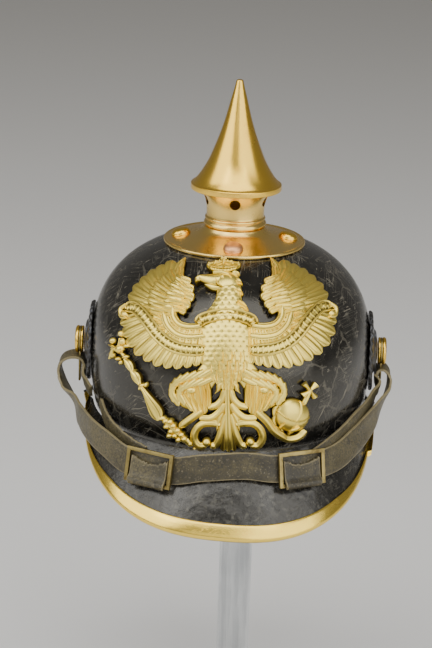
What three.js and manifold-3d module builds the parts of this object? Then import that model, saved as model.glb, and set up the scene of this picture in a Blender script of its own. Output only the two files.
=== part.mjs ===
// A leather spiked helmet on a clear rod stand.
// Millimetres, +Z up, with the front of the helmet towards -Y and its right-hand side, as the
// viewer sees it, towards +X. The origin is the centre of the stand's foot, on the table.
import * as THREE from 'three';
import Module from 'manifold-3d';
import { mergeVertices } from 'three/addons/utils/BufferGeometryUtils.js';

const wasm = await Module();
wasm.setup();

// ------------------------------------------------------------------ driving dimensions
const GAP = 0.3; // between pieces that touch on the real helmet
const LUG_HEIGHT = 262; // the side lugs above the table; helmet heights below count from them
const HELMET_SHIFT = -8; // the helmet rests a little off the middle of its rod

// The skull is a superellipse of revolution, drawn out from round at the crown to oval at the rim.
// Its sides stand upright below the lugs and tuck in just above the rim.
const SKULL = {
  halfWidth: 87.2,
  halfLength: 99,
  crown: 72.5,
  roundness: 2.4,
  rim: -36.5,
  tuck: 3.4,
  wall: 2.5,
};

// The visors: half plan width, reach from the lug line, and heights at the ends and the middle.
const FRONT_VISOR = {
  halfWidth: 84.5,
  reach: 130,
  endReach: 8,
  endZ: -37,
  tipZ: -76,
  fullness: 2.5,
  drop: 0.7,
};
const REAR_VISOR = {
  halfWidth: 89.5,
  reach: 124,
  endReach: 8,
  endZ: -37,
  tipZ: -72,
  fullness: 2.4,
  drop: 0.8,
};
const VISOR_WALL = 2.4;
const VISOR_SEAM_Z = -33.9; // the visor's upper edge, sewn on outside the skull's rim
const VISOR_LEAN = 0.05; // the old front visor hangs lower on +X by this share of its width
const VISOR_CROWN = 0.8; // how far the visor's surface bulges between its edges
const TRIM = { width: 8, wall: 0.8, under: 5 };
const SPINE = {
  width: 15,
  wall: 1.1,
  ridge: 0.5,
  skullShare: 0.62,
  topAngle: 60.5,
  seamAngle: -10,
  hub: -14,
};

const BASE = {
  radius: 43.7,
  lipTop: 69.2,
  coneInner: 26,
  coneTop: 72.6,
  coneOuter: 41.3,
  coneBottom: 68.9,
  foot: 18,
  top: 77.2,
};
const STUD = { radius: 6, height: 3.6, atRadius: 33 };
const NECK = {
  bottom: 77.5,
  top: 100.6,
  waist: 17.8,
  topRadius: 21.8,
  wall: 1.3,
  ventRadius: 3.3,
  ventHeight: 94.5,
  vents: 5,
};
const SPIKE = { bottom: 100.9, flangeRadius: 27.9, edge: 3, tip: 168, tipRadius: 2.1 };

const COCKADE = { radius: 25, flutes: 26, notch: 0.035, seat: 87.6, dish: 0.85 };
const LUG = { radius: 8.6, neck: 6.4, seat: 92.2, depth: 5.2 };
const HOOK = { bottom: { left: -26, right: -17 }, halfWidth: 5, thickness: 1.4, outward: 94.2 };

const STRAP = {
  width: 16,
  thickness: 2.2,
  frontLean: 4,
  sideLean: 20,
  endWidth: 10,
  point: 0.07,
};
const BUCKLE = { width: 31, height: 20.5, bar: 2.2, thickness: 1.8 };
const TAB = { wall: 1.6, play: 1.2, scoop: 3, taper: 0.94 };

// The front plate's place, and the line that its two halves share.
const PLATE = { shift: -1.4, turn: 2.6, tilt: 17.15, drawnAt: 1.8, stand: 0.6, simplify: 0.3 };
const PLATE_AXIS = 1;

const ROD = { radius: 10.5, pad: 16.5, padThickness: 6, padDrop: 2.6, padDome: 0.9 };
const FOOT = { radius: 70, height: 10, bevel: 1.5 };

// ------------------------------------------------------------------ materials
const finish = (color, roughness, metalness) =>
  new THREE.MeshStandardMaterial({ color, roughness, metalness });
const BLACK_LEATHER = finish(0x15140f, 0.35, 0);
const STRAP_LEATHER = finish(0x4c4536, 0.75, 0);
const BRASS = finish(0xc79a4c, 0.28, 1);
const GILT = finish(0xd9bf6e, 0.38, 1);
const AGED_BRASS = finish(0x8a7339, 0.5, 1);
const COPPER = finish(0xc08a5c, 0.35, 1);
const BLACK_PAINT = finish(0x101010, 0.5, 0.2);
const ACRYLIC = new THREE.MeshStandardMaterial({
  color: 0xdfe4e6,
  roughness: 0.05,
  metalness: 0,
  transparent: true,
  opacity: 0.35,
});

// ------------------------------------------------------------------ helpers
const radians = THREE.MathUtils.degToRad;
const mix = THREE.MathUtils.lerp;

// Welds a geometry to positions only and turns its faces outwards.
function closed(geometry) {
  const bare = new THREE.BufferGeometry();
  bare.setAttribute('position', geometry.getAttribute('position'));
  bare.setIndex(geometry.getIndex());
  const welded = mergeVertices(bare, 1e-3);
  const index = Array.from(welded.getIndex().array);
  const kept = [];
  for (let i = 0; i < index.length; i += 3) {
    const [a, b, c] = index.slice(i, i + 3);
    if (a !== b && b !== c && c !== a) kept.push(a, b, c);
  }
  const place = (i) => new THREE.Vector3().fromBufferAttribute(welded.getAttribute('position'), i);
  let volume = 0;
  for (let i = 0; i < kept.length; i += 3) {
    volume += place(kept[i]).dot(place(kept[i + 1]).cross(place(kept[i + 2])));
  }
  if (volume < 0) {
    for (let i = 0; i < kept.length; i += 3) {
      [kept[i], kept[i + 1]] = [kept[i + 1], kept[i]];
    }
  }
  welded.setIndex(kept);
  return welded;
}

const solidOf = (geometry) => {
  const shell = closed(geometry);
  return new wasm.Manifold(
    new wasm.Mesh({
      numProp: 3,
      vertProperties: shell.getAttribute('position').array,
      triVerts: new Uint32Array(shell.getIndex().array),
    }),
  );
};

function geometryOf(solid) {
  const mesh = solid.getMesh();
  const geometry = new THREE.BufferGeometry();
  geometry.setAttribute('position', new THREE.BufferAttribute(mesh.vertProperties, 3));
  geometry.setIndex(new THREE.BufferAttribute(mesh.triVerts, 1));
  return geometry;
}

function mapVertices(geometry, place) {
  const at = geometry.getAttribute('position');
  const point = new THREE.Vector3();
  for (let i = 0; i < at.count; i += 1) {
    const moved = place(point.fromBufferAttribute(at, i), i);
    at.setXYZ(i, moved.x, moved.y, moved.z);
  }
  return geometry;
}

// A sheet formed from a flat box: shape(a, b, c) places the point at a along the sheet, b across
// it and c through it, each from 0 to 1.
function formed(along, across, through, shape) {
  const box = new THREE.BoxGeometry(1, 1, 1, along, across, through);
  mapVertices(box, (p) => shape(p.x + 0.5, p.y + 0.5, p.z + 0.5));
  return closed(box);
}

// A turned piece about +Z from rows of [radius, height].
function turned(rows, segments) {
  const profile = rows.map(([radius, height]) => new THREE.Vector2(radius, height));
  return closed(new THREE.LatheGeometry(profile, segments).rotateX(Math.PI / 2));
}

const parts = new THREE.Group();
const helmet = new THREE.Group();
helmet.position.set(HELMET_SHIFT, 0, LUG_HEIGHT);
parts.add(helmet);

function add(group, name, geometry, material) {
  const mesh = new THREE.Mesh(geometry, material);
  mesh.name = name;
  group.add(mesh);
  return mesh;
}

// ------------------------------------------------------------------ the skull's surface
// How much the oval section is drawn out along Y at a height.
function stretchAt(z) {
  const full = SKULL.halfLength / SKULL.halfWidth;
  const rise = THREE.MathUtils.clamp(z / SKULL.crown, 0, 1);
  return 1 + (full - 1) * (1 - rise * rise);
}

// The skull's half width at a height, `off` outside its outer face.
function skullRadius(z, off = 0) {
  const width = SKULL.halfWidth + off;
  if (z <= 0) return width - SKULL.tuck * (z / SKULL.rim) ** 3;
  const rise = Math.min(1, z / (SKULL.crown + off));
  return width * (1 - rise ** SKULL.roundness) ** (1 / SKULL.roundness);
}

const outsideSkull = (p, off) => Math.hypot(p.x, p.y / stretchAt(p.z)) > skullRadius(p.z, off);

// Walks back from the point along a direction until it meets the skull's offset face.
function ontoSkull(start, direction, off, reach = 220) {
  let near = 0;
  let far = reach;
  const at = (t) => start.clone().addScaledVector(direction, t);
  for (let i = 0; i < 40; i += 1) {
    const middle = (near + far) / 2;
    if (outsideSkull(at(middle), off)) far = middle;
    else near = middle;
  }
  return at(far);
}

// How high the skull's offset face stands over a point of the plan.
function domeHeight(x, y, off) {
  const up = new THREE.Vector3(0, 0, 1);
  return ontoSkull(new THREE.Vector3(x, y, 0), up, off, SKULL.crown + off).z;
}

// ------------------------------------------------------------------ skull
function skullShell() {
  const { halfWidth, crown, roundness, rim, wall } = SKULL;
  const quarter = (width, height, rows) =>
    Array.from({ length: rows + 1 }, (_, i) => {
      const angle = (Math.PI / 2) * (i / rows);
      return [width * Math.sin(angle) ** (2 / roundness), height * Math.cos(angle) ** (2 / roundness)];
    });
  const outer = quarter(halfWidth, crown, 8);
  const inner = quarter(halfWidth - wall, crown - wall, 5).reverse();
  const side = [0.5, 0.8, 1].map((share) => [skullRadius(rim * share), rim * share]);
  const rows = [...outer, ...side, [skullRadius(rim) - wall, rim], ...inner];
  rows[0][0] = 0;
  rows[rows.length - 1][0] = 0;
  const shell = turned(rows, 34);
  return mapVertices(shell, (p) => p.setY(p.y * stretchAt(p.z)));
}
add(helmet, 'leather_skull', skullShell(), BLACK_LEATHER);

// ------------------------------------------------------------------ visors and trim
// A point on a visor: a runs round from the -X end to the +X end, b from the seam to the edge,
// and depth lies under the upper face. side is -1 for the front visor and 1 for the rear one.
function visorPoint(visor, side, a, b, depth) {
  const surface = (s, t) => {
    const endAngle = Math.asin(visor.endReach / SKULL.halfLength);
    const inner = endAngle + (Math.PI - 2 * endAngle) * s;
    const seamRadius = skullRadius(VISOR_SEAM_Z, VISOR_WALL + 2 * GAP);
    const seam = new THREE.Vector3(
      -seamRadius * Math.cos(inner),
      side * (seamRadius * stretchAt(0)) * Math.sin(inner),
      VISOR_SEAM_Z,
    );
    const outer = Math.PI * THREE.MathUtils.clamp(s, 0, 1);
    const across = Math.cos(outer);
    const forward = Math.sin(outer);
    const edge = new THREE.Vector3(
      -visor.halfWidth * Math.sign(across) * Math.abs(across) ** (2 / visor.fullness),
      side * (visor.endReach + (visor.reach - visor.endReach) * forward ** (2 / visor.fullness)),
      visor.endZ + (visor.tipZ - visor.endZ) * forward ** visor.drop,
    );
    // At its ends the visor is a short tab that hangs below the seam, outside the rim.
    edge.x += Math.sign(edge.x) * (VISOR_WALL + 1) * (1 - forward);
    if (side < 0) edge.z -= VISOR_LEAN * edge.x;
    const point = seam.clone().lerp(edge, t);
    const bulge = VISOR_CROWN * 4 * t * (1 - t) * forward;
    point.x += (bulge * -across) / 2;
    point.y += (side * bulge * forward) / 2;
    point.z += bulge / 1.4;
    return point;
  };
  const step = 1e-3;
  const s = THREE.MathUtils.clamp(a, step, 1 - step);
  const alongEdge = surface(s + step, b).sub(surface(s - step, b));
  const down = surface(a, b + step).sub(surface(a, b - step));
  const up = alongEdge.cross(down).normalize();
  if (up.z + 0.2 * Math.hypot(up.x, up.y) < 0) up.negate();
  return { point: surface(a, b).addScaledVector(up, -depth), up, down: down.normalize() };
}

const visorSheet = (visor, side) =>
  formed(22, 2, 1, (a, b, c) => visorPoint(visor, side, a, b, VISOR_WALL * (1 - c)).point);

add(helmet, 'front_visor', visorSheet(FRONT_VISOR, -1), BLACK_LEATHER);
add(helmet, 'rear_visor', visorSheet(REAR_VISOR, 1), BLACK_LEATHER);

// The trim is a strip folded round the edge: over the top face, round the edge, and back under.
function visorTrim() {
  const inside = { top: 2 * GAP, edge: 3 * GAP, bottom: -VISOR_WALL - 2 * GAP };
  return formed(22, 3, 1, (a, b, c) => {
    const wall = TRIM.wall * c;
    const rows = [
      { out: -TRIM.width, up: inside.top + GAP + wall },
      { out: inside.edge + wall, up: inside.top + wall },
      { out: inside.edge + wall, up: inside.bottom - wall },
      { out: -TRIM.under, up: inside.bottom - GAP - wall },
    ];
    const row = rows[Math.round(b * 3)];
    const ends = Math.min(1, 0.2 + 3.4 * Math.min(a, 1 - a));
    const { point, up, down } = visorPoint(FRONT_VISOR, -1, a, 1, 0);
    return point.addScaledVector(down, row.out < 0 ? row.out * ends : row.out).addScaledVector(up, row.up);
  });
}
add(helmet, 'visor_trim', visorTrim(), BRASS);

// The spine runs from behind the base plate down the back of the skull and over the rear visor.
function rearSpine() {
  const { width, wall, ridge, skullShare, topAngle, seamAngle, hub } = SPINE;
  const visorEdgeRadius = 130; // the rear visor's edge curves about this far behind the spine
  return formed(13, 2, 1, (a, b, c) => {
    const x = (b - 0.5) * width * (a > 0.97 ? 0.7 : 1);
    const lift = 2 * GAP + wall * c + ridge * c * (1 - Math.abs(2 * b - 1));
    if (a <= skullShare) {
      const angle = radians(mix(topAngle, seamAngle, a / skullShare));
      const out = new THREE.Vector3(0, Math.cos(angle), Math.sin(angle));
      return ontoSkull(new THREE.Vector3(x, 0, hub), out, lift);
    }
    const along = (a - skullShare) / (1 - skullShare);
    const { point, up } = visorPoint(REAR_VISOR, 1, 0.5, mix(0.03, 0.97, along), 0);
    point.addScaledVector(up, lift + GAP);
    point.x = x;
    point.y -= (x * x) / (2 * visorEdgeRadius);
    return point;
  });
}
add(helmet, 'rear_spine', rearSpine(), BRASS);

// ------------------------------------------------------------------ base plate, studs, neck, spike
const baseSlope = (BASE.coneBottom - BASE.coneTop) / (BASE.coneOuter - BASE.coneInner);
const baseTop = (radius) => BASE.coneTop + baseSlope * (radius - BASE.coneInner);

function basePlate() {
  const underRadii = [0, 14, 25, 35, BASE.radius - 0.2];
  const under = underRadii.map((radius) => [radius, 0]);
  const top = [
    [BASE.radius, 67.6],
    [BASE.radius, 68.4],
    [BASE.radius - 0.6, BASE.lipTop],
    [BASE.coneOuter + 0.9, BASE.lipTop + 0.1],
    [BASE.coneOuter, baseTop(BASE.coneOuter)],
    [BASE.coneInner, baseTop(BASE.coneInner)],
    [22.4, 74.1],
    [19.8, 75.5],
    [BASE.foot, BASE.top],
    [0, BASE.top],
  ];
  const plate = turned([...under, ...top], 28);
  return mapVertices(plate, (p) => (p.z < 1 ? p.setZ(domeHeight(p.x, p.y, GAP + 0.05)) : p));
}
add(helmet, 'spike_base', basePlate(), BRASS);

function domedStud(angle) {
  const { radius, height, atRadius } = STUD;
  const rows = [
    [0, 0],
    [radius, 0],
    [radius * 0.95, height * 0.35],
    [radius * 0.66, height * 0.82],
    [0, height],
  ];
  const stud = turned(rows, 12);
  stud.rotateY(-Math.atan(baseSlope));
  stud.translate(atRadius, 0, baseTop(atRadius) + GAP);
  return stud.rotateZ(radians(angle));
}
const studs = { front: -90, back: 90, left: 180, right: 0 };
for (const [place, angle] of Object.entries(studs)) {
  add(helmet, `base_stud_${place}`, domedStud(angle), place === 'front' ? COPPER : BRASS);
}

function neckTube() {
  const { bottom, top, waist, topRadius, wall, ventRadius, ventHeight, vents } = NECK;
  const outside = [
    [waist, bottom],
    [waist + 1.4, bottom + 1.4],
    [waist + 0.1, bottom + 4.4],
    [waist + 0.7, bottom + 5.2],
    [waist, bottom + 6.4],
    [waist + 0.3, bottom + 12],
    [waist + 1.8, bottom + 18.5],
    [topRadius, top],
  ];
  const inside = [
    [topRadius - wall, top],
    [waist + 0.3 - wall, bottom + 12],
    [waist - wall, bottom],
  ];
  const loop = [...outside, ...inside, outside[0]];
  let tube = solidOf(turned(loop, 18));
  for (let i = 0; i < vents; i += 1) {
    const drill = new THREE.CylinderGeometry(ventRadius, ventRadius, 16, 8);
    drill.translate(0, -waist, 0).rotateZ((2 * Math.PI * i) / vents).translate(0, 0, ventHeight);
    tube = tube.subtract(solidOf(drill));
  }
  return geometryOf(tube);
}
add(helmet, 'spike_neck', neckTube(), BRASS);

// The point's concave side, as heights above the flange and radii.
const POINT_ROWS = [
  { height: 0.5, radius: 26.9 },
  { height: 7, radius: 21.6 },
  { height: 14.5, radius: 17.4 },
  { height: 22, radius: 14.3 },
  { height: 37, radius: 9 },
  { height: 54, radius: 4.4 },
];
function spikePoint() {
  const { bottom, flangeRadius, edge, tip, tipRadius } = SPIKE;
  const side = POINT_ROWS.map(({ height, radius }) => [radius, bottom + edge + height]);
  const rows = [
    [0, bottom],
    [NECK.topRadius - NECK.wall, bottom],
    [flangeRadius - 0.8, bottom - GAP],
    [flangeRadius, bottom + 0.1],
    [flangeRadius - 0.1, bottom + edge],
    ...side,
    [tipRadius, tip - 0.8],
    [0, tip],
  ];
  return turned(rows, 24);
}
add(helmet, 'spike', spikePoint(), BRASS);

// ------------------------------------------------------------------ cockades, lugs and strap hooks
// Turns a piece drawn about +Z so that +Z faces out of the helmet's side.
const faceOut = (geometry, side) => geometry.rotateY((side * Math.PI) / 2);

function cockade(side) {
  const { radius, flutes, notch, seat, dish } = COCKADE;
  const rows = [
    [0, 0.2],
    [radius / 2, 0.1],
    [radius, 0],
    [radius, 1.1],
    [radius - 1.6, 2.3],
    [18.4, 1.5],
    [14.6, 1.9],
    [12.2, 3.2],
    [0, 4.3],
  ];
  const disc = turned(rows, flutes);
  mapVertices(disc, (p) => {
    const flute = Math.round((Math.atan2(p.y, p.x) / (2 * Math.PI)) * flutes);
    const shrink = Math.hypot(p.x, p.y) > radius - 0.5 && flute % 2 === 0 ? 1 - notch : 1;
    return p.set(p.x * shrink, p.y * shrink, p.z);
  });
  faceOut(disc, side);
  // It is dished to the skull's side.
  return mapVertices(disc, (p) => {
    const bend = SKULL.halfWidth * (1 - Math.sqrt(1 - (p.y / SKULL.halfLength) ** 2));
    const lean = SKULL.halfWidth - skullRadius(p.z);
    return p.setX(p.x + side * (seat - dish * (bend + lean)));
  });
}

function sideLug(side) {
  const { radius, neck, seat, depth } = LUG;
  const rows = [
    [0, 0],
    [radius - 0.2, 0],
    [radius - 0.1, 1],
    [neck, 1.1],
    [neck, 2.9],
    [radius, 3],
    [radius, 4.2],
    [radius - 1.4, depth],
    [0, depth + 0.3],
  ];
  return faceOut(turned(rows, 12), side).translate(side * seat, 0, 0);
}

// The hook is a keyhole plate: an eye on the lug's neck and a tail down into the strap's fold.
function strapHook(side, bottom) {
  const { halfWidth, thickness } = HOOK;
  const eye = LUG.radius - 0.2;
  const shoulder = Math.asin(halfWidth / eye);
  const corner = 1.8;
  const plate = new THREE.Shape();
  plate.moveTo(-halfWidth, bottom + corner);
  plate.lineTo(-halfWidth + corner, bottom);
  plate.lineTo(halfWidth - corner, bottom);
  plate.lineTo(halfWidth, bottom + corner);
  plate.absarc(0, 0, eye, -Math.PI / 2 + shoulder, 1.5 * Math.PI - shoulder, false);
  const hole = new THREE.Path();
  hole.absarc(0, 0, LUG.neck + 1.5 * GAP, 0, 2 * Math.PI, true);
  plate.holes.push(hole);
  const flat = { depth: thickness, bevelEnabled: false, curveSegments: 6 };
  const solid = new THREE.ExtrudeGeometry(plate, flat);
  solid.rotateX(Math.PI / 2).rotateZ(Math.PI / 2);
  if (side < 0) solid.rotateZ(Math.PI);
  return closed(solid.translate(side * (HOOK.outward - thickness / 2), 0, 0));
}

const SIDES = { left: -1, right: 1 };
for (const [name, side] of Object.entries(SIDES)) {
  add(helmet, `cockade_${name}`, cockade(side), BLACK_PAINT);
  add(helmet, `lug_${name}`, sideLug(side), BRASS);
  add(helmet, `strap_hook_${name}`, strapHook(side, HOOK.bottom[name]), AGED_BRASS);
}

// ------------------------------------------------------------------ chin strap
// The middle line of the leather. turn is 0 where the strap stands on edge, with its upper edge
// leaning in, and 90 where it lies with its width from front to back.
const STRAP_ROWS = [
  { x: -85, y: -27, z: -25.4, turn: 50 }, // pointed end, inside the left fold
  { x: -88.2, y: -17.5, z: -24.8, turn: 62 },
  { x: -90.6, y: -9, z: -23.6, turn: 76 },
  { x: -91.3, y: -3, z: -21.6, turn: 88 },
  { x: -91.3, y: 0, z: -18.6, turn: 90 },
  { x: -91.3, y: 0, z: -15.4, turn: 90 },
  { x: -93.4, y: 0, z: -11.2, turn: 90 },
  { x: -99.5, y: 0, z: -10.4, turn: 90 }, // top of the left fold
  { x: -105, y: 0, z: -13, turn: 90 },
  { x: -107.2, y: 0, z: -18.8, turn: 90 },
  { x: -105.4, y: -1, z: -25.5, turn: 90 },
  { x: -101, y: -8, z: -31.5, turn: 84 },
  { x: -95.8, y: -20, z: -34.4, turn: 72 },
  { x: -90.8, y: -38, z: -36.2, turn: 52 },
  { x: -82.6, y: -59, z: -37.8, turn: 34 },
  { x: -71.6, y: -77, z: -40.2, turn: 18 },
  { x: -58, y: -94.5, z: -43, turn: 4 }, // left buckle
  { x: -42.5, y: -105, z: -43.6, turn: 0 },
  { x: -27, y: -111, z: -43, turn: 0 },
  { x: -12, y: -111.4, z: -40.6, turn: 0 },
  { x: 3, y: -111, z: -38.8, turn: 0 }, // the middle of the front
  { x: 17, y: -109.8, z: -38.6, turn: 0 },
  { x: 30, y: -108, z: -40.4, turn: 0 },
  { x: 44.5, y: -101, z: -41.6, turn: 0 }, // right buckle
  { x: 58, y: -91, z: -41.8, turn: 2 },
  { x: 68, y: -79, z: -40.8, turn: 6 },
  { x: 76, y: -65, z: -38.8, turn: 12 },
  { x: 83, y: -50, z: -36, turn: 24 },
  { x: 89.5, y: -35, z: -32.6, turn: 44 },
  { x: 94.5, y: -21, z: -29, turn: 66 },
  { x: 98.4, y: -9, z: -25, turn: 82 },
  { x: 100, y: -2, z: -19.5, turn: 90 },
  { x: 99.6, y: 0, z: -14.2, turn: 90 },
  { x: 96.8, y: 0, z: -10.8, turn: 90 }, // top of the right fold
  { x: 93.4, y: 0, z: -10.9, turn: 90 },
  { x: 92.1, y: 0, z: -14, turn: 90 },
  { x: 92, y: -1, z: -18, turn: 90 },
  { x: 92.4, y: -7, z: -22, turn: 86 },
  { x: 89.8, y: -18, z: -25.4, turn: 70 },
  { x: 86.2, y: -32, z: -28.2, turn: 50 },
  { x: 79.6, y: -50, z: -30.4, turn: 30 },
  { x: 71.6, y: -65.5, z: -32.8, turn: 14 },
  { x: 62.5, y: -79.5, z: -34.9, turn: 6 },
  { x: 52, y: -90.8, z: -37.4, turn: 2 }, // pointed end, behind the right buckle
];

// The other end of the strap, left loose between the outer layer and the skull.
const STRAP_END_ROWS = [
  { x: -77, y: -48, z: -23.6, turn: 30 },
  { x: -73.2, y: -60, z: -28.6, turn: 22 },
  { x: -68.4, y: -70.5, z: -32.6, turn: 16 },
  { x: -61.8, y: -80.5, z: -35.8, turn: 10 },
  { x: -54, y: -89.5, z: -37.8, turn: 6 },
  { x: -46.6, y: -96.6, z: -39, turn: 4 },
];

class Route {
  constructor(rows) {
    const places = rows.map(({ x, y, z }) => new THREE.Vector3(x, y, z));
    this.curve = new THREE.CatmullRomCurve3(places, false, 'centripetal');
    this.rows = rows;
  }

  // The place, and the directions along, across and out of the leather, at a share of the rows.
  at(share) {
    const span = this.rows.length - 1;
    const exact = THREE.MathUtils.clamp(share, 0, 1) * span;
    const low = Math.min(span - 1, Math.floor(exact));
    const turn = radians(mix(this.rows[low].turn, this.rows[low + 1].turn, exact - low));
    const place = this.curve.getPoint(share);
    const along = this.curve.getTangent(share);
    const inward = new THREE.Vector3(-place.x, -place.y, 0).normalize();
    const sideways = Math.min(1, Math.abs(place.x) / SKULL.halfWidth);
    const lean = radians(mix(STRAP.frontLean, STRAP.sideLean, sideways));
    const across = new THREE.Vector3(0, 0, Math.cos(lean)).addScaledVector(inward, Math.sin(lean));
    across.multiplyScalar(Math.cos(turn)).add(new THREE.Vector3(0, -Math.sin(turn), 0));
    across.addScaledVector(along, -across.dot(along)).normalize();
    const out = along.clone().cross(across);
    return { place, along, across, out };
  }
}

// A band of leather along a route. It narrows to its ends over a share of the route, pointStart
// and pointEnd, or is cut square where that is 0.
function band(route, steps, width, pointStart, pointEnd) {
  const blunt = 0.4; // how wide a pointed end stays
  const narrowed = (from, over) => (over ? Math.min(1, mix(blunt, 1, from / over)) : 1);
  return formed(steps, 1, 1, (a, b, c) => {
    const { place, across, out } = route.at(a);
    const wide = width * Math.min(narrowed(a, pointStart), narrowed(1 - a, pointEnd));
    place.addScaledVector(across, (b - 0.5) * wide);
    return place.addScaledVector(out, (c - 0.5) * STRAP.thickness);
  });
}

const strapRoute = new Route(STRAP_ROWS);
function chinStrap() {
  const foldTop = -11;
  let strap = solidOf(band(strapRoute, 66, STRAP.width, STRAP.point, STRAP.point));
  // The hooks' tails pass through slots in the folds.
  for (const side of Object.values(SIDES)) {
    const slot = new THREE.BoxGeometry(HOOK.thickness + 2 * GAP, 2 * HOOK.halfWidth + 2 * GAP, 12);
    slot.translate(side * HOOK.outward, 0, foldTop);
    strap = strap.subtract(solidOf(slot));
  }
  return geometryOf(strap);
}
add(helmet, 'chin_strap', chinStrap(), STRAP_LEATHER);
const looseEnd = band(new Route(STRAP_END_ROWS), 10, STRAP.endWidth, 0.5, 0);
add(helmet, 'strap_end_left', looseEnd, STRAP_LEATHER);

// ------------------------------------------------------------------ buckles and their tabs
// A point of a flat piece over the strap: shift along, rise across and lift out of its middle line.
function overStrap(share, shift, rise, lift) {
  const { place, along, across, out } = strapRoute.at(share);
  place.addScaledVector(along, shift);
  return place.addScaledVector(across, rise).addScaledVector(out, lift);
}

function buckleFrame(share) {
  const { width, height, bar, thickness } = BUCKLE;
  const squareness = 12; // of the superellipse that the frame's bar follows
  const ring = 10; // the radius of the loop before it is shaped
  const loop = new THREE.TorusGeometry(ring, 1, 4, 24);
  const lift = STRAP.thickness / 2 + 1.2 * GAP + thickness / 2;
  mapVertices(loop, (p) => {
    const angle = Math.atan2(p.y, p.x);
    const side = Math.atan2(p.z, Math.hypot(p.x, p.y) - ring) + Math.PI / 4;
    const outward = Math.SQRT1_2 * bar * Math.cos(side);
    const through = Math.SQRT1_2 * thickness * Math.sin(side);
    const reach = (Math.cos(angle) ** squareness + Math.sin(angle) ** squareness) ** (-1 / squareness);
    const shift = Math.cos(angle) * reach * (width / 2 - bar / 2 + outward);
    const rise = Math.sin(angle) * reach * (height / 2 - bar / 2 + outward);
    return overStrap(share, shift, rise, lift + through);
  });
  return closed(loop);
}

// The tab lies in the frame's window and folds down over its lower bar.
const TAB_ROWS = [
  { rise: 5.2, lift: 0.4, scoop: 1 },
  { rise: -1, lift: 0.4, scoop: 0.3 },
  { rise: -5.8, lift: 0.8, scoop: 0 },
  { rise: -7.6, lift: 3.2, scoop: 0 },
  { rise: -10.9, lift: 3.2, scoop: 0 },
  { rise: -12.4, lift: 0.8, scoop: 0 },
];
function buckleTab(share) {
  const width = BUCKLE.width - 2 * BUCKLE.bar - 2 * TAB.play;
  const hem = -8; // the tab narrows below this rise
  return formed(4, TAB_ROWS.length - 1, 1, (a, b, c) => {
    const row = TAB_ROWS[Math.round(b * (TAB_ROWS.length - 1))];
    const shift = (a - 0.5) * width * (row.rise < hem ? TAB.taper : 1);
    const rise = row.rise - TAB.scoop * row.scoop * Math.sin(Math.PI * a);
    return overStrap(share, shift, rise, STRAP.thickness / 2 + row.lift + TAB.wall * c);
  });
}

const rowShare = (index) => index / (STRAP_ROWS.length - 1);
const buckleShares = { left: rowShare(17), right: rowShare(23) };
for (const [name, share] of Object.entries(buckleShares)) {
  add(helmet, `buckle_${name}`, buckleFrame(share), AGED_BRASS);
  add(helmet, `buckle_tab_${name}`, buckleTab(share), STRAP_LEATHER);
}

// ------------------------------------------------------------------ front plate
// The eagle is set out flat first: u to the viewer's right and v up from its middle, and height
// out of the plate. plateSpot then lays a point on the skull, square to the view it was set out in.
const { sin, cos } = Math;
const tilt = radians(PLATE.tilt);
const viewLine = new THREE.Vector3(0, -cos(tilt), sin(tilt));

function onSkullFace(u, v) {
  const turn = radians(PLATE.turn);
  const x = u * cos(turn) - v * sin(turn) + PLATE.shift;
  const w = u * sin(turn) + v * cos(turn);
  return ontoSkull(new THREE.Vector3(x, w * sin(tilt), w * cos(tilt)), viewLine, PLATE.drawnAt);
}

function plateSpot(u, v, height) {
  const step = 0.05;
  const middle = onSkullFace(u, v);
  const right = onSkullFace(u + step, v).sub(middle);
  const above = onSkullFace(u, v + step).sub(middle);
  const normal = right.cross(above).normalize();
  return middle.addScaledVector(normal, PLATE.stand + height - PLATE.drawnAt);
}

const laidOnSkull = (geometry) => solidOf(mapVertices(geometry, (p) => plateSpot(p.x, p.y, p.z)));

// A strip along a line of [u, v] points. Its section is a roof with a ridge, or flat with a border.
// widths are shares of the width at even steps along it, so that a tip can be round or pointed.
const TIPS = {
  feather: [0.75, 0.95, 1, 0.78, 0.22],
  leaf: [0.5, 1, 0.95, 0.6, 0.12],
  curl: [0.7, 1, 1, 1, 1, 0.9, 0.8],
  bar: [1, 1, 1],
  flare: [0.35, 0.7, 1],
};
const TIP_STEPS = { feather: [0, 0.4, 0.72, 0.92, 1], leaf: [0, 0.3, 0.6, 0.85, 1] };

function strip(points, width, { form = 'feather', top = 2.2, bottom = 0.8, flat = false, detail = 1 } = {}) {
  const spots = points.map(([u, v]) => new THREE.Vector3(u, v, 0));
  const route = new THREE.CatmullRomCurve3(spots, false, 'centripetal');
  const shares = TIPS[form];
  const steps = (shares.length - 1) * detail;
  const place = (a, across, height) => {
    const index = a * (shares.length - 1);
    const low = Math.min(shares.length - 2, Math.floor(index));
    const share = mix(shares[low], shares[low + 1], index - low);
    const stops = TIP_STEPS[form];
    const t = stops ? mix(stops[low], stops[low + 1], index - low) : a;
    const middle = route.getPoint(t);
    const tangent = route.getTangent(t);
    const reach = (across * share * width) / 2;
    return new THREE.Vector3(middle.x - tangent.y * reach, middle.y + tangent.x * reach, height);
  };
  if (flat) {
    return laidOnSkull(formed(steps, 1, 1, (a, b, c) => place(a, 1 - 2 * b, mix(bottom, top, c))));
  }
  // A roof: three corners round a cylinder, the first at the ridge.
  const roof = new THREE.CylinderGeometry(1, 1, 1, 3, steps);
  mapVertices(roof, (p) => {
    const corner = Math.round((Math.atan2(p.x, p.z) * 3) / (2 * Math.PI));
    if (Math.hypot(p.x, p.z) < 0.5) return place(p.y + 0.5, 0, mix(bottom, top, 0.4));
    return place(p.y + 0.5, corner === 0 ? 0 : corner, corner === 0 ? top : bottom);
  });
  return laidOnSkull(roof);
}

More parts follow.
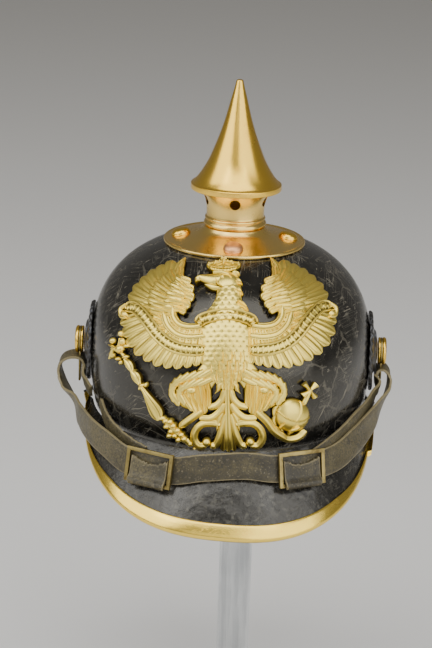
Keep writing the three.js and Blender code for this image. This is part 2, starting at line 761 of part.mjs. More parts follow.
// A low dome, oval if it is given a second radius, and with a scalloped edge if it has a frill.
function boss(u, v, radius, top, { radiusV = radius, bottom = 0.8, segments = 6, frill = 0 } = {}) {
  const rise = top - bottom;
  const rows = [
    [0, 0],
    [1, 0],
    [0.72, rise * 0.72],
    [0, rise],
  ];
  const dome = turned(rows, segments);
  mapVertices(dome, (p) => {
    const spoke = Math.round((Math.atan2(p.y, p.x) * segments) / (2 * Math.PI));
    const shrink = spoke % 2 === 0 ? 1 : 1 - frill;
    return p.set(p.x * shrink * radius, p.y * shrink * radiusV, p.z);
  });
  return laidOnSkull(dome.translate(u, v, bottom));
}

// The feathers of the viewer's right wing: root, middle and tip, and width.
const PRIMARIES = [
  { root: [22.5, 30], middle: [26, 42], tip: [26, 53], width: 6.5 },
  { root: [23.5, 28], middle: [32, 41], tip: [36, 50.4], width: 7.5 },
  { root: [25, 26], middle: [37, 39], tip: [43.8, 48.8], width: 7.5 },
  { root: [26, 24], middle: [41, 35], tip: [50, 43.5], width: 7.5 },
  { root: [27, 21.5], middle: [44, 30], tip: [56.5, 38.5], width: 8 },
  { root: [28.5, 19], middle: [46, 25], tip: [59, 32.5], width: 7 },
];
const SECONDARIES = [
  { root: [31, 19], middle: [50, 17.5], tip: [64, 13.5], width: 6 },
  { root: [31, 17.5], middle: [50, 12.5], tip: [65, 6.5], width: 7 },
  { root: [30.5, 15.5], middle: [47, 8.5], tip: [60.5, 0.5], width: 7 },
  { root: [29, 13.5], middle: [43, 5], tip: [54.5, -4], width: 6.6 },
  { root: [27, 12], middle: [38.5, 1.5], tip: [48.5, -8.5], width: 6.4 },
  { root: [24.5, 11], middle: [34, -1], tip: [41.5, -10.8], width: 6 },
  { root: [22, 10.5], middle: [29, -2], tip: [35, -11.5], width: 5.6 },
  { root: [19, 10.5], middle: [24.5, -2.5], tip: [29, -13.2], width: 5.6 },
  { root: [16, 11], middle: [20, -2], tip: [23, -11.7], width: 5.2 },
  { root: [12.5, 11.5], middle: [15, -1.5], tip: [18, -11], width: 5.2 },
];
const COVERTS = [
  { root: [23, 36], tip: [27.5, 44.5], width: 5 },
  { root: [25, 33], tip: [33, 41], width: 5.5 },
  { root: [27, 30], tip: [37.5, 37], width: 5.5 },
  { root: [28, 27], tip: [40.5, 32], width: 5.5 },
  { root: [28.5, 23.5], tip: [42, 26.5], width: 6 },
  { root: [29, 20], tip: [41, 20.5], width: 6 },
];
const WRIST = { u: 23.4, v: 27, radius: 4 };
const ARM = [[13, 11.6], [22, 10.9], [28, 12.7], [31.2, 17], [31.6, 22]];
const RIBBON = [
  [13, -2.4], [20, -2.3], [27, -1.4], [33.6, 1.2], [40, 6.3],
  [45.6, 13.2], [50.4, 19], [55, 22.6], [60, 22.4],
];

// The two halves of the plate are drawn once, as shifts from its axis.
const mirrored = (points, side) => points.map(([u, v]) => [PLATE_AXIS + side * u, v]);

// Feathers that lie side by side, as one sheet with a ridge down each and a valley between each two.
function fan(feathers, side, { top, valley, bottom, steps }) {
  const between = (one, two, share) => [mix(one[0], two[0], share), mix(one[1], two[1], share)];
  const last = feathers.length - 1;
  // A place on a feather's line at a share of its length, moved sideways from it.
  const onLine = (index, share, sideways = 0) => {
    const { root, tip, middle = between(root, tip, 0.55) } = feathers[index];
    const [from, to] = share < 0.5 ? [root, middle] : [middle, tip];
    const [u, v] = between(from, to, share < 0.5 ? share * 2 : share * 2 - 1);
    const length = Math.hypot(to[0] - from[0], to[1] - from[1]);
    return [u + ((to[1] - from[1]) / length) * sideways, v - ((to[0] - from[0]) / length) * sideways];
  };
  const valleyAt = (index, share) => {
    const short = 0.9 * share;
    if (index === 0) return onLine(0, short, -feathers[0].width / 2);
    if (index > last) return onLine(last, short, feathers[last].width / 2);
    return between(onLine(index - 1, short), onLine(index, short), 0.5);
  };
  const columns = 2 * feathers.length;
  return laidOnSkull(
    formed(columns, steps, 1, (a, b, c) => {
      const column = Math.round(a * columns);
      const isRidge = column % 2 === 1;
      const [u, v] = isRidge ? onLine((column - 1) / 2, b) : valleyAt(column / 2, b);
      return new THREE.Vector3(PLATE_AXIS + side * u, v, mix(bottom, isRidge ? top : valley, c));
    }),
  );
}

function wing(side) {
  const turnedOver = (points) => mirrored(points, side);
  return [
    fan([...PRIMARIES, ...SECONDARIES], side, { top: 2.5, bottom: 0.3, valley: 1.5, steps: 3 }),
    fan(COVERTS, side, { top: 3.4, bottom: 1, valley: 2.7, steps: 1 }),
    boss(PLATE_AXIS + side * WRIST.u, WRIST.v, WRIST.radius, 3),
    strip(turnedOver(ARM), 5, { form: 'bar', top: 3.2, detail: 2 }),
    strip(turnedOver(RIBBON), 7.6, { form: 'bar', top: 3.2, bottom: 1, flat: true, detail: 3 }),
    boss(PLATE_AXIS + side * 61.5, 19.5, 3, 3.6),
  ];
}

// The body's outline by height, and how far its middle stands out.
const BODY_ROWS = [
  { v: 34, left: -4.8, right: 9.2, top: 4.4 },
  { v: 27, left: -6.2, right: 9.4, top: 4 },
  { v: 22.8, left: -8.6, right: 11, top: 3.8 },
  { v: 16.4, left: -15, right: 14.8, top: 3.8 },
  { v: 8.5, left: -14.2, right: 14, top: 4.2 },
  { v: 0, left: -13.6, right: 13.6, top: 4.2 },
  { v: -9, left: -13.8, right: 13.6, top: 3.8 },
  { v: -15, left: -12, right: 12.4, top: 3.4 },
  { v: -20, left: -7, right: 7.6, top: 3.2 },
  { v: -25, left: -2.5, right: 3.5, top: 2.6 },
];
const CHEST_BAND = [[-14.6, 12.2], [-6.8, 16], [1, 17.2], [8.4, 16.2], [15.4, 12]];

function bodyAt(v) {
  const next = Math.max(1, BODY_ROWS.findIndex((row) => row.v <= v + 1e-6));
  const [above, below] = [BODY_ROWS[next - 1], BODY_ROWS[next]];
  const t = (above.v - v) / (above.v - below.v);
  const at = (column) => mix(above[column], below[column], t);
  return { left: at('left'), right: at('right'), top: at('top') };
}

// Rows of overlapping scale feathers stand out of the breast, each staggered against the last.
function body() {
  const scaleRows = 7;
  const across = 4;
  const torso = formed(2 * scaleRows, across, 1, (a, b, c) => {
    const row = Math.round(a * 2 * scaleRows);
    const v = mix(BODY_ROWS[0].v, BODY_ROWS.at(-1).v, a);
    const { left, right, top } = bodyAt(v);
    const stagger = (Math.round(b * across) + (row >> 1)) % 2;
    const scale = row % 2 === 0 ? 0 : 0.5 + 0.6 * stagger;
    const round = 1.2 + (top - 1.2) * sin(Math.PI * b) ** 0.7;
    return new THREE.Vector3(mix(left, right, b), v - 0.9 * scale, c * (round + scale));
  });
  return [laidOnSkull(torso), strip(CHEST_BAND, 6.5, { form: 'bar', top: 6, flat: true, detail: 3 })];
}

function head() {
  const rim = { form: 'bar', top: 4.4 };
  const cross = { form: 'bar', top: 2.5, bottom: 0, flat: true };
  const crown = { u: -1.4, base: 43.2, middle: 46.4, cross: 50.7 };
  const onCrown = (points) => points.map(([shift, v]) => [crown.u + shift, v]);
  return [
    boss(0.4, 37, 8, 5.6, { radiusV: 6.4, bottom: 0, segments: 9 }),
    strip([[-4, 38.8], [-8, 40], [-13, 40], [-17.8, 37]], 5.6, { form: 'leaf', top: 4.6, bottom: 0 }),
    strip([[-5, 35.6], [-12.8, 34.2]], 2.8, { form: 'bar', top: 3.2, bottom: 0 }),
    boss(7.4, 37.6, 3, 3.4, { radiusV: 3.4, bottom: 0 }),
    boss(8.2, 31.4, 2.6, 3.2, { radiusV: 3.2, bottom: 0 }),
    boss(crown.u, crown.middle, 9.8, 4.4, { radiusV: 4.6, bottom: 0, segments: 10, frill: 0.16 }),
    strip(onCrown([[-7.2, crown.base], [0, crown.base - 0.6], [7.2, crown.base]]), 2.6, rim),
    strip(onCrown([[0, 49.4], [0, 52]]), 1.5, cross),
    strip(onCrown([[-2, crown.cross], [2, crown.cross]]), 1.4, cross),
  ];
}

// Both legs, with the wing-like thighs, and what each claw grips.
const THIGHS = [
  { u: -20.8, v: -27.8, radius: 11.4 },
  { u: 21.4, v: -28, radius: 11.8 },
];
function legs() {
  const shank = { form: 'bar', top: 3.6, bottom: 0 };
  return [
    ...THIGHS.flatMap(({ u, v, radius }) => [
      boss(u, v, radius, 4.6, { radiusV: 11, bottom: 0, segments: 14, frill: 0.1 }),
      strip([[u * 0.36, -14], [u * 0.8, -24]], 8, { form: 'bar', top: 2.6, bottom: 0, flat: true }),
    ]),
    strip([[-16.5, -37], [-24, -42.6], [-31.6, -47.4]], 4.8, shank),
    strip([[18, -37.4], [24.3, -44.5], [27.8, -48.8], [33.9, -54.4]], 4.8, shank),
    strip([[27.2, -31], [29.2, -35.4], [32.6, -41]], 3.2, { form: 'bar', top: 3, bottom: 0 }),
  ];
}

// The tail's scrolls, the same on both sides.
const SCROLLS = [
  { points: [[1.5, -27], [4.5, -32.6], [10.4, -34.9]], width: 3.8, form: 'leaf' },
  { points: [[1.5, -32], [6, -38], [11, -41.6], [16.2, -41]], width: 4.2, form: 'leaf' },
  {
    points: [[5, -42.6], [10, -44.4], [15, -45.2], [19, -48.6], [20.2, -54], [17.2, -58.2], [13.3, -57.6]],
    width: 4.2,
    form: 'curl',
  },
  { points: [[1.5, -43], [3, -48], [4.4, -53], [6.6, -57.8], [9.8, -58.8]], width: 3.6, form: 'bar' },
];
function tail() {
  const curls = [-1, 1].flatMap((side) => [
    ...SCROLLS.map(({ points, width, form }) => {
      const detail = form === 'bar' ? 2 : 1;
      return strip(mirrored(points, side), width, { form, top: 2.8, bottom: 0, detail });
    }),
    boss(PLATE_AXIS + side * 12.9, -55.6, 2.7, 3.2, { bottom: 0 }),
  ]);
  const stem = formed(4, 2, 1, (a, b, c) => {
    const v = mix(-20, -60.2, a);
    const half = a > 0.5 ? mix(2.2, 4.8, (a - 0.5) * 2) : 2.1;
    return new THREE.Vector3(PLATE_AXIS + (1 - 2 * b) * half, v, c * (b === 0.5 ? 3.6 : 2.4));
  });
  return [laidOnSkull(stem), ...curls];
}

// The sceptre's turned knobs from its finial down, and the spray of claws at its foot.
const SCEPTRE = [
  { u: -65.3, v: -1.1, radius: 5.4, radiusV: 7.6, top: 3.2 },
  { u: -58, v: -11.1, radius: 3.3, radiusV: 4.3, top: 3.2 },
  { u: -53.9, v: -18.1, radius: 3.1, radiusV: 4, top: 3.2 },
  { u: -42.3, v: -35.4, radius: 4.8, radiusV: 7.6, top: 3.8 },
  { u: -31.8, v: -49, radius: 5.6, radiusV: 4.6, top: 3.8 },
  { u: -21.6, v: -57.4, radius: 2.3, radiusV: 2.3, top: 2.8 },
];
const ORB = { u: 38.6, v: -41, radius: 10.6 };
const CROSS = { u: 48.4, v: -26.1, arm: 4.8, turn: 38 };
function sceptreAndOrb() {
  const rod = { form: 'bar', top: 2.4, bottom: 0 };
  const arms = [0, 90, 180, 270].map((degrees) => {
    const angle = radians(degrees + CROSS.turn);
    const reaches = [0.8, 0.6 * CROSS.arm, CROSS.arm];
    const points = reaches.map((reach) => [CROSS.u + reach * cos(angle), CROSS.v + reach * sin(angle)]);
    return strip(points, 3.4, { form: 'flare', top: 2.6, bottom: 0.2, flat: true });
  });
  return [
    ...SCEPTRE.map(({ u, v, radius, radiusV, top }) => boss(u, v, radius, top, { radiusV, bottom: 0 })),
    strip([[-62.6, -5.6], [-53.7, -18.1], [-42.1, -35.7], [-34, -47]], 2.8, rod),
    strip([[-34, -47], [-21, -57.9]], 3.4, rod),
    boss(ORB.u, ORB.v, ORB.radius, 5.4, { bottom: 0, segments: 12 }),
    strip([[29, -49.6], [33, -53], [38, -54], [43, -52], [46, -48.6]], 3.6, { ...rod, top: 3, detail: 2 }),
    strip([[44.6, -33.6], [47.4, -28.4]], 2.2, { ...rod, top: 2.6 }),
    boss(CROSS.u, CROSS.v, 1.6, 2.8, { bottom: 0 }),
    ...arms,
  ];
}
function frontPlate() {
  const pieces = [...wing(-1), ...wing(1), ...body(), ...head(), ...legs(), ...tail(), ...sceptreAndOrb()];
  return geometryOf(wasm.Manifold.union(pieces).simplify(PLATE.simplify));
}
add(helmet, 'front_plate', frontPlate(), GILT);

// ------------------------------------------------------------------ the stand
const CROWN_INSIDE = SKULL.crown - SKULL.wall;
const padTop = CROWN_INSIDE - ROD.padDrop;
const padBottom = LUG_HEIGHT + padTop - ROD.padThickness;
add(
  parts,
  'stand_pad',
  turned(
    [
      [0, padBottom],
      [ROD.pad - 2, padBottom],
      [ROD.pad, padBottom + 2],
      [ROD.pad, LUG_HEIGHT + padTop],
      [0, LUG_HEIGHT + padTop + ROD.padDome],
    ],
    24,
  ),
  ACRYLIC,
);
const rodBottom = FOOT.height + GAP;
add(
  parts,
  'stand_rod',
  turned(
    [
      [0, rodBottom],
      [ROD.radius, rodBottom],
      [ROD.radius, padBottom - GAP],
      [0, padBottom - GAP],
    ],
    24,
  ),
  ACRYLIC,
);
add(
  parts,
  'stand_base',
  turned(
    [
      [0, 0],
      [FOOT.radius, 0],
      [FOOT.radius, FOOT.height - FOOT.bevel],
      [FOOT.radius - FOOT.bevel, FOOT.height],
      [0, FOOT.height],
    ],
    36,
  ),
  ACRYLIC,
);

export default parts;
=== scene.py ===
# %% [markdown]
# # A leather spiked helmet on a clear rod
#
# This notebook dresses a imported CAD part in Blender. The CAD solids give every size and place,
# and are plain and faceted. Here each of them is remade as a smooth, finely worked piece with the
# finish of the real thing: lacquered leather, polished brass, a gilt cast plate and an old strap.
#
# Each step says what the piece is on a real helmet, how it could be made, and why one way won.

# %% Load the frame
import math

import bmesh
import bpy
import numpy as np
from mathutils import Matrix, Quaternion, Vector


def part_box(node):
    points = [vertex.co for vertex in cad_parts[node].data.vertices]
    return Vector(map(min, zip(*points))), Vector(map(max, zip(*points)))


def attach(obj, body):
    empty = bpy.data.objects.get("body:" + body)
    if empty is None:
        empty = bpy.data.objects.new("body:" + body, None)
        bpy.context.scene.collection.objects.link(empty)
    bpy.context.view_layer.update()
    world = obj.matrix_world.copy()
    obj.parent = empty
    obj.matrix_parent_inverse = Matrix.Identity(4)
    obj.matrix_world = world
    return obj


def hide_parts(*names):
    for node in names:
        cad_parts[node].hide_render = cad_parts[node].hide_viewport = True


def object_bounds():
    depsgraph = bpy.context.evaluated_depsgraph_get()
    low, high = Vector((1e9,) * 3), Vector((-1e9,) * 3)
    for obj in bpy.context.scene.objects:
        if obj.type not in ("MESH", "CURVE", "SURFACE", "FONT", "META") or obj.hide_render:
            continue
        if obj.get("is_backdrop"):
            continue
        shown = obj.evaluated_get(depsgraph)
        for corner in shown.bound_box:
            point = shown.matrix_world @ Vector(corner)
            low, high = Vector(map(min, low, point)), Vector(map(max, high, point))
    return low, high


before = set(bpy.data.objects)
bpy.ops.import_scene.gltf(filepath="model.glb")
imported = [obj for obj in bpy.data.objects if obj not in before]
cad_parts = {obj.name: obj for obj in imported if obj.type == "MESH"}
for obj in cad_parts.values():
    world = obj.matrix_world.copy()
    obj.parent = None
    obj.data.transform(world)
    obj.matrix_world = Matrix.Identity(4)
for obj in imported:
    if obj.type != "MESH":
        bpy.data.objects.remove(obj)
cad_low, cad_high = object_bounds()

print("CAD nodes:", len(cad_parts), "box:", tuple(cad_low), tuple(cad_high))

# %% [markdown]
# ## Where the helmet stands
#
# All sizes below are in millimetres from the middle of the helmet, level with its side lugs,
# because that is how a saddler or a brass spinner would measure it. One offset, read from the
# CAD boxes, carries them to the table frame, which Blender holds in metres.

# %% The helmet's own zero point
MM = 0.001
skull_low, skull_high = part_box("leather_skull")
lug_low, lug_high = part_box("lug_left")
HELMET = np.array([(skull_low.x + skull_high.x) / 2, 0.0, (lug_low.z + lug_high.z) / 2])


def in_row(points):
    """Helmet millimetres to metres in the row frame."""
    return np.asarray(points, float) * MM + HELMET


print("helmet zero in metres:", HELMET.round(4))

# %% [markdown]
# ## Camera, table and light
#
# A long lens from a little above keeps the upright lines nearly parallel, as a catalogue page of
# helmets would. The helmet leans slightly, so the camera is rolled rather than the CAD turned.
# Two broad soft boxes stand left and right of the camera: brass shows them as two wide bright
# bands with a darker line between, and black lacquer as soft grey patches. A weaker one in
# front fills the band between them, and one overhead lights the crown, wings and visor.

# %% Camera
LENS, DISTANCE = 115.56, 1.3
target = Vector(in_row((-9.6, 0, 13.2)))
elevation, azimuth, roll = math.radians(17.15), math.radians(1.3), math.radians(1.9)
back = Vector((
    math.sin(azimuth) * math.cos(elevation),
    -math.cos(azimuth) * math.cos(elevation),
    math.sin(elevation),
))
bpy.ops.object.select_all(action="DESELECT")
bpy.ops.object.camera_add(location=target + DISTANCE * back)
camera = bpy.context.object
camera.rotation_mode = "QUATERNION"
camera.rotation_quaternion = Quaternion(back, roll) @ (-back).to_track_quat("-Z", "Y")
camera.data.lens = LENS
camera.data.clip_end = 30
bpy.context.scene.camera = camera
print("camera at", tuple(round(c, 3) for c in camera.location))

# %% Table and room
bpy.ops.mesh.primitive_plane_add(size=24, location=(0, 4, 0))
table = bpy.context.object
table.name = "table"
PALE_GREY, WARM_DAYLIGHT = (0.84, 0.83, 0.81, 1), (0.82, 0.79, 0.73, 1)
table_paint = bpy.data.materials.new("pale_table")
table_paint.use_nodes = True
paint = table_paint.node_tree.nodes["Principled BSDF"]
paint.inputs["Base Color"].default_value = PALE_GREY
paint.inputs["Roughness"].default_value = 0.9
table.data.materials.append(table_paint)
table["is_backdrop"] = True

room = bpy.data.worlds.new("room")
bpy.context.scene.world = room
room.use_nodes = True
walls = room.node_tree.nodes["Background"]
walls.inputs["Color"].default_value = WARM_DAYLIGHT
walls.inputs["Strength"].default_value = 0.25


# %% Soft boxes
def soft_box(name, place, size, power, aim=(-0.008, 0, 0.29)):
    """A rectangular area light that faces the helmet."""
    bpy.ops.object.light_add(type="AREA", location=place)
    lamp = bpy.context.object
    lamp.name = name
    lamp.data.shape = "RECTANGLE"
    lamp.data.size, lamp.data.size_y = size
    lamp.data.energy = power
    lamp.rotation_mode = "QUATERNION"
    lamp.rotation_quaternion = (Vector(place) - Vector(aim)).to_track_quat("Z", "Y")


soft_box("left_box", (-1.45, -0.85, 1.25), (2.0, 1.7), 26)
soft_box("right_box", (1.15, -1.2, 0.85), (2.1, 1.7), 23)
soft_box("front_box", (0.0, -2.4, 1.0), (1.6, 1.2), 4.5)
soft_box("top_box", (0.0, -0.7, 1.9), (2.0, 1.3), 23)

# %% [markdown]
# ## Workshop helpers
#
# An operator acts on whatever is selected, so each helper first clears the selection. `pick`
# selects in edit mode by place. `spun` draws half a section point by point and spins it, as a
# brass spinner turns a disc on a lathe. `laid` bends a flat piece over a form: it asks a function
# where each point goes, because a Curve or Shrinkwrap modifier would lose the height of a relief.


# %% Selecting
def alone(piece):
    """Selects one piece and nothing else."""
    if bpy.context.mode != "OBJECT":
        bpy.ops.object.mode_set(mode="OBJECT")
    bpy.ops.object.select_all(action="DESELECT")
    piece.select_set(True)
    bpy.context.view_layer.objects.active = piece


def editing(piece):
    """Opens a piece in edit mode with all of it selected."""
    alone(piece)
    bpy.ops.object.mode_set(mode="EDIT")
    bpy.ops.mesh.select_mode(type="VERT")
    bpy.ops.mesh.select_all(action="SELECT")


def pick(piece, kind, test):
    """Selects the verts, edges or faces whose middle passes a test, in edit mode."""
    bpy.ops.mesh.select_all(action="DESELECT")
    bpy.ops.mesh.select_mode(type={"verts": "VERT", "edges": "EDGE", "faces": "FACE"}[kind])
    shell = bmesh.from_edit_mesh(piece.data)
    for part in getattr(shell, kind):
        corners = [part] if kind == "verts" else part.verts
        middle = sum((v.co for v in corners), Vector()) / len(corners)
        part.select_set(bool(test(middle)))
    shell.select_flush_mode()
    bmesh.update_edit_mesh(piece.data)


# %% Spinning
def spun(name, rows, steps=96, middle=(0, 0), facing=0):
    """Spins rows of (radius, height) about +Z, or about X where facing is 1 or -1."""
    if facing:
        line = [Vector(in_row((facing * height, 0, radius))) for radius, height in rows]
        centre, axis = Vector(in_row((0, 0, 0))), (1, 0, 0)
    else:
        line = [Vector(in_row((middle[0] + radius, middle[1], height))) for radius, height in rows]
        centre, axis = Vector(in_row((*middle, 0))), (0, 0, 1)
    bpy.ops.object.select_all(action="DESELECT")
    bpy.ops.mesh.primitive_plane_add(size=MM, location=line[0])
    piece = bpy.context.object
    piece.name = name
    editing(piece)
    bpy.ops.mesh.merge(type="CENTER")
    for before, after in zip(line, line[1:]):
        bpy.ops.mesh.extrude_region_move(TRANSFORM_OT_translate={"value": after - before})
    bpy.ops.mesh.select_all(action="SELECT")
    bpy.ops.mesh.spin(steps=steps, angle=2 * math.pi, center=centre, axis=axis)
    bpy.ops.mesh.select_all(action="SELECT")
    bpy.ops.mesh.remove_doubles(threshold=2e-6)
    bpy.ops.mesh.normals_make_consistent(inside=False)
    bpy.ops.object.mode_set(mode="OBJECT")
    bpy.ops.object.transform_apply(location=True, rotation=True, scale=True)
    return piece


def drawn(rows, step=1.0):
    """Points at even steps along a smooth line through rows of (radius, height)."""
    rows = np.array(rows, float)
    span = np.concatenate([[0], np.cumsum(np.hypot(*np.diff(rows, axis=0).T))])
    along = np.linspace(0, span[-1], max(2, int(span[-1] / step)))
    slope = np.gradient(rows, span, axis=0)
    low = np.clip(np.searchsorted(span, along, side="right") - 1, 0, len(rows) - 2)
    width = (span[low + 1] - span[low])[:, None]
    t = ((along - span[low])[:, None]) / width
    curve = (
        (2 * t**3 - 3 * t**2 + 1) * rows[low]
        + (t**3 - 2 * t**2 + t) * width * slope[low]
        + (-2 * t**3 + 3 * t**2) * rows[low + 1]
        + (t**3 - t**2) * width * slope[low + 1]
    )
    return [tuple(point) for point in curve]


# %% Modifiers and finishing
def hardened(piece, kind, **values):
    """Adds a modifier, sets it and applies it."""
    alone(piece)
    modifier = piece.modifiers.new(kind.lower(), kind)
    for key, value in values.items():
        setattr(modifier, key, value)
    bpy.ops.object.modifier_apply(modifier=modifier.name)
    return piece


def softened(piece, width, angle=35, segments=3):
    """Rounds every edge sharper than the angle, as handling and polishing do."""
    values = {"width": width * MM, "segments": segments, "limit_method": "ANGLE"}
    return hardened(piece, "BEVEL", angle_limit=math.radians(angle), **values)


def points_of(piece):
    """Every vertex as a row of x, y and z in metres."""
    flat = np.empty(len(piece.data.vertices) * 3)
    piece.data.vertices.foreach_get("co", flat)
    return flat.reshape(-1, 3)


def moved_to(piece, metres):
    """Puts every vertex at its new place."""
    piece.data.vertices.foreach_set("co", metres.ravel())
    piece.data.update()


def laid(piece, place):
    """Moves each vertex to where place() puts it, from its own to helmet millimetres."""
    moved_to(piece, in_row(place(points_of(piece) / MM)))
    return piece


def in_helmet(p):
    """A spun piece's own millimetres, which start at the table, as helmet millimetres."""
    return (p * MM - HELMET) / MM


def facing_out(piece, centre=(0, 0, 0)):
    """Turns an open sheet's faces away from a point in the helmet."""
    hub = Vector(in_row(centre))
    outward = sum((face.center - hub).dot(face.normal) * face.area for face in piece.data.polygons)
    if outward < 0:
        editing(piece)
        bpy.ops.mesh.flip_normals()
        bpy.ops.object.mode_set(mode="OBJECT")
    return piece


def finished(piece, name, nodes, material, angle=40):
    """Names, smooths and finishes a piece, and puts it in place of CAD nodes."""
    alone(piece)
    bpy.ops.object.transform_apply(location=True, rotation=True, scale=True)
    bpy.ops.object.shade_smooth_by_angle(angle=math.radians(angle))
    piece.name = piece.data.name = name
    piece.data.materials.clear()
    piece.data.materials.append(material)
    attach(piece, "root")
    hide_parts(*nodes)
    triangles = sum(len(face.vertices) - 2 for face in piece.data.polygons)
    print(f"{name}: {triangles} triangles, for {', '.join(nodes)}")
    return piece


# %% Blanks
def grid_blank(columns, rows, width=1.0, height=1.0):
    """A flat sheet of width by height millimetres, from its middle."""
    bpy.ops.object.select_all(action="DESELECT")
    bpy.ops.mesh.primitive_grid_add(x_subdivisions=columns, y_subdivisions=rows, size=MM)
    sheet = bpy.context.object
    editing(sheet)
    bpy.ops.transform.resize(value=(width, height, 1))
    bpy.ops.object.mode_set(mode="OBJECT")
    return sheet


def copied(piece):
    """A copy with a mesh of its own."""
    twin = piece.copy()
    twin.data = piece.data.copy()
    bpy.context.scene.collection.objects.link(twin)
    return twin


def joined(pieces):
    """One object from several."""
    bpy.ops.object.select_all(action="DESELECT")
    for piece in pieces:
        piece.select_set(True)
    bpy.context.view_layer.objects.active = pieces[0]
    bpy.ops.object.join()
    return bpy.context.object

# %% [markdown]
# ## Finishes
#
# Four effects turn up on more than one finish, so each is a node group built once: a net of
# cracks, long fine scratches that run every way, a pebbled grain for leather, and cloudy patches
# for tarnish and dirt. Every group takes a place on the piece and gives back a mask or a height.
# The shaders stay in the materials, with constants set on their own sockets.


# %% Node helpers
def node(tree, kind, settings=None, **inputs):
    """Adds a node. Inputs are numbers or sockets, and _ stands for a space in their names."""
    made = tree.nodes.new("ShaderNode" + kind)
    for key, value in (settings or {}).items():
        setattr(made, key, value)
    for key, value in inputs.items():
        connect(tree, made.inputs[key.replace("_", " ")], value)
    return made


def connect(tree, socket, value):
    """Links a socket, or sets a number."""
    if isinstance(value, bpy.types.NodeSocket):
        tree.links.new(value, socket)
    else:
        socket.default_value = value


def sums(tree, operation, first, second=0.0, third=None):
    """One step of arithmetic on numbers or sockets."""
    made = tree.nodes.new("ShaderNodeMath")
    made.operation = operation
    for socket, value in zip(made.inputs, (first, second, third)):
        if value is not None:
            connect(tree, socket, value)
    return made.outputs[0]


def mixed(tree, mask, first, second):
    """Colour `first` where the mask is 0 and `second` where it is 1."""
    made = tree.nodes.new("ShaderNodeMix")
    made.data_type = "RGBA"
    for index, value in ((0, mask), (6, first), (7, second)):
        connect(tree, made.inputs[index], value)
    return made.outputs[2]


def between(tree, value, low, high, to_low=0.0, to_high=1.0):
    """A smooth step: to_low at `low` and below, to_high at `high` and above."""
    made = tree.nodes.new("ShaderNodeMapRange")
    made.interpolation_type = "SMOOTHSTEP"
    ends = {"From Min": low, "From Max": high, "To Min": to_low, "To Max": to_high}
    for name, each in {"Value": value, **ends}.items():
        connect(tree, made.inputs[name], each)
    return made.outputs["Result"]


def noise(tree, vector, scale, detail=4.0, roughness=0.55):
    """A cloudy height around 0.5."""
    values = {"Scale": scale, "Detail": detail, "Roughness": roughness}
    return node(tree, "TexNoise", Vector=vector, **values).outputs["Fac"]


def new_group(name, inputs, outputs):
    """An empty node group with named number sockets, and a Vector input."""
    group = bpy.data.node_groups.new(name, "ShaderNodeTree")
    group.interface.new_socket("Vector", in_out="INPUT", socket_type="NodeSocketVector")
    for each in inputs:
        group.interface.new_socket(each, in_out="INPUT", socket_type="NodeSocketFloat")
    for each in outputs:
        group.interface.new_socket(each, in_out="OUTPUT", socket_type="NodeSocketFloat")
    return group, group.nodes.new("NodeGroupInput"), group.nodes.new("NodeGroupOutput")


# %% A broken net of cracks
crackle, given, put = new_group("crackle", ["Scale", "Width", "Cover"], ["Mask"])
wander = node(crackle, "TexNoise", Vector=given.outputs["Vector"], Scale=60.0, Detail=3.0)
swayed = node(crackle, "VectorMath", {"operation": "SCALE"}, Vector=wander.outputs["Color"])
swayed.inputs["Scale"].default_value = 0.012
drift = node(crackle, "VectorMath", {"operation": "ADD"})
crackle.links.new(given.outputs["Vector"], drift.inputs[0])
crackle.links.new(swayed.outputs[0], drift.inputs[1])
cells = node(
    crackle, "TexVoronoi", {"feature": "DISTANCE_TO_EDGE"},
    Vector=drift.outputs[0], Scale=given.outputs["Scale"],
)
line = sums(crackle, "LESS_THAN", cells.outputs["Distance"], given.outputs["Width"])
breaks = noise(crackle, given.outputs["Vector"], 45.0)
shown = sums(crackle, "LESS_THAN", breaks, given.outputs["Cover"])
crackle.links.new(sums(crackle, "MULTIPLY", line, shown), put.inputs["Mask"])

# %% Long fine scratches, in three directions
scratches, given, put = new_group("scratches", ["Width", "Cover"], ["Mask"])
here, scratched = given.outputs["Vector"], 0.0
for turn, offset in (((0.3, 0.5, 0.2), 0.0), ((1.3, -0.4, 0.9), 0.31), ((-0.6, 0.9, -0.5), 0.67)):
    narrow = node(
        scratches, "Mapping", {"vector_type": "TEXTURE"},
        Vector=here, Scale=(0.0022, 0.06, 0.06), Rotation=turn, Location=(offset, offset, 0),
    ).outputs[0]
    from_half = sums(scratches, "SUBTRACT", noise(scratches, narrow, 1.0, 1.5), 0.5)
    off_middle = sums(scratches, "ABSOLUTE", from_half)
    line = sums(scratches, "LESS_THAN", off_middle, given.outputs["Width"])
    spread = node(scratches, "VectorMath", {"operation": "ADD"}, Vector=here)
    spread.inputs[1].default_value = (offset, 2 * offset, 0)
    breaks = noise(scratches, spread.outputs[0], 55.0, 5.0)
    shown = sums(scratches, "LESS_THAN", breaks, given.outputs["Cover"])
    scratched = sums(scratches, "MAXIMUM", scratched, sums(scratches, "MULTIPLY", line, shown))
scratches.links.new(scratched, put.inputs["Mask"])

# %% Pebbled grain
grain, given, put = new_group("grain", ["Scale"], ["Height"])
pebbles = node(
    grain, "TexVoronoi", {"feature": "SMOOTH_F1"},
    Vector=given.outputs["Vector"], Scale=given.outputs["Scale"],
)
fibres = noise(grain, given.outputs["Vector"], given.outputs["Scale"], 6.0, 0.7)
height = sums(grain, "MULTIPLY_ADD", pebbles.outputs["Distance"], 0.6, fibres)
grain.links.new(height, put.inputs["Height"])

# %% Cloudy patches
patches, given, put = new_group("patches", ["Scale", "Low", "High"], ["Mask"])
cloud = noise(patches, given.outputs["Vector"], given.outputs["Scale"], 7.0, 0.62)
clouded = between(patches, cloud, given.outputs["Low"], given.outputs["High"])
patches.links.new(clouded, put.inputs["Mask"])
print("effects:", ", ".join(group.name for group in bpy.data.node_groups))


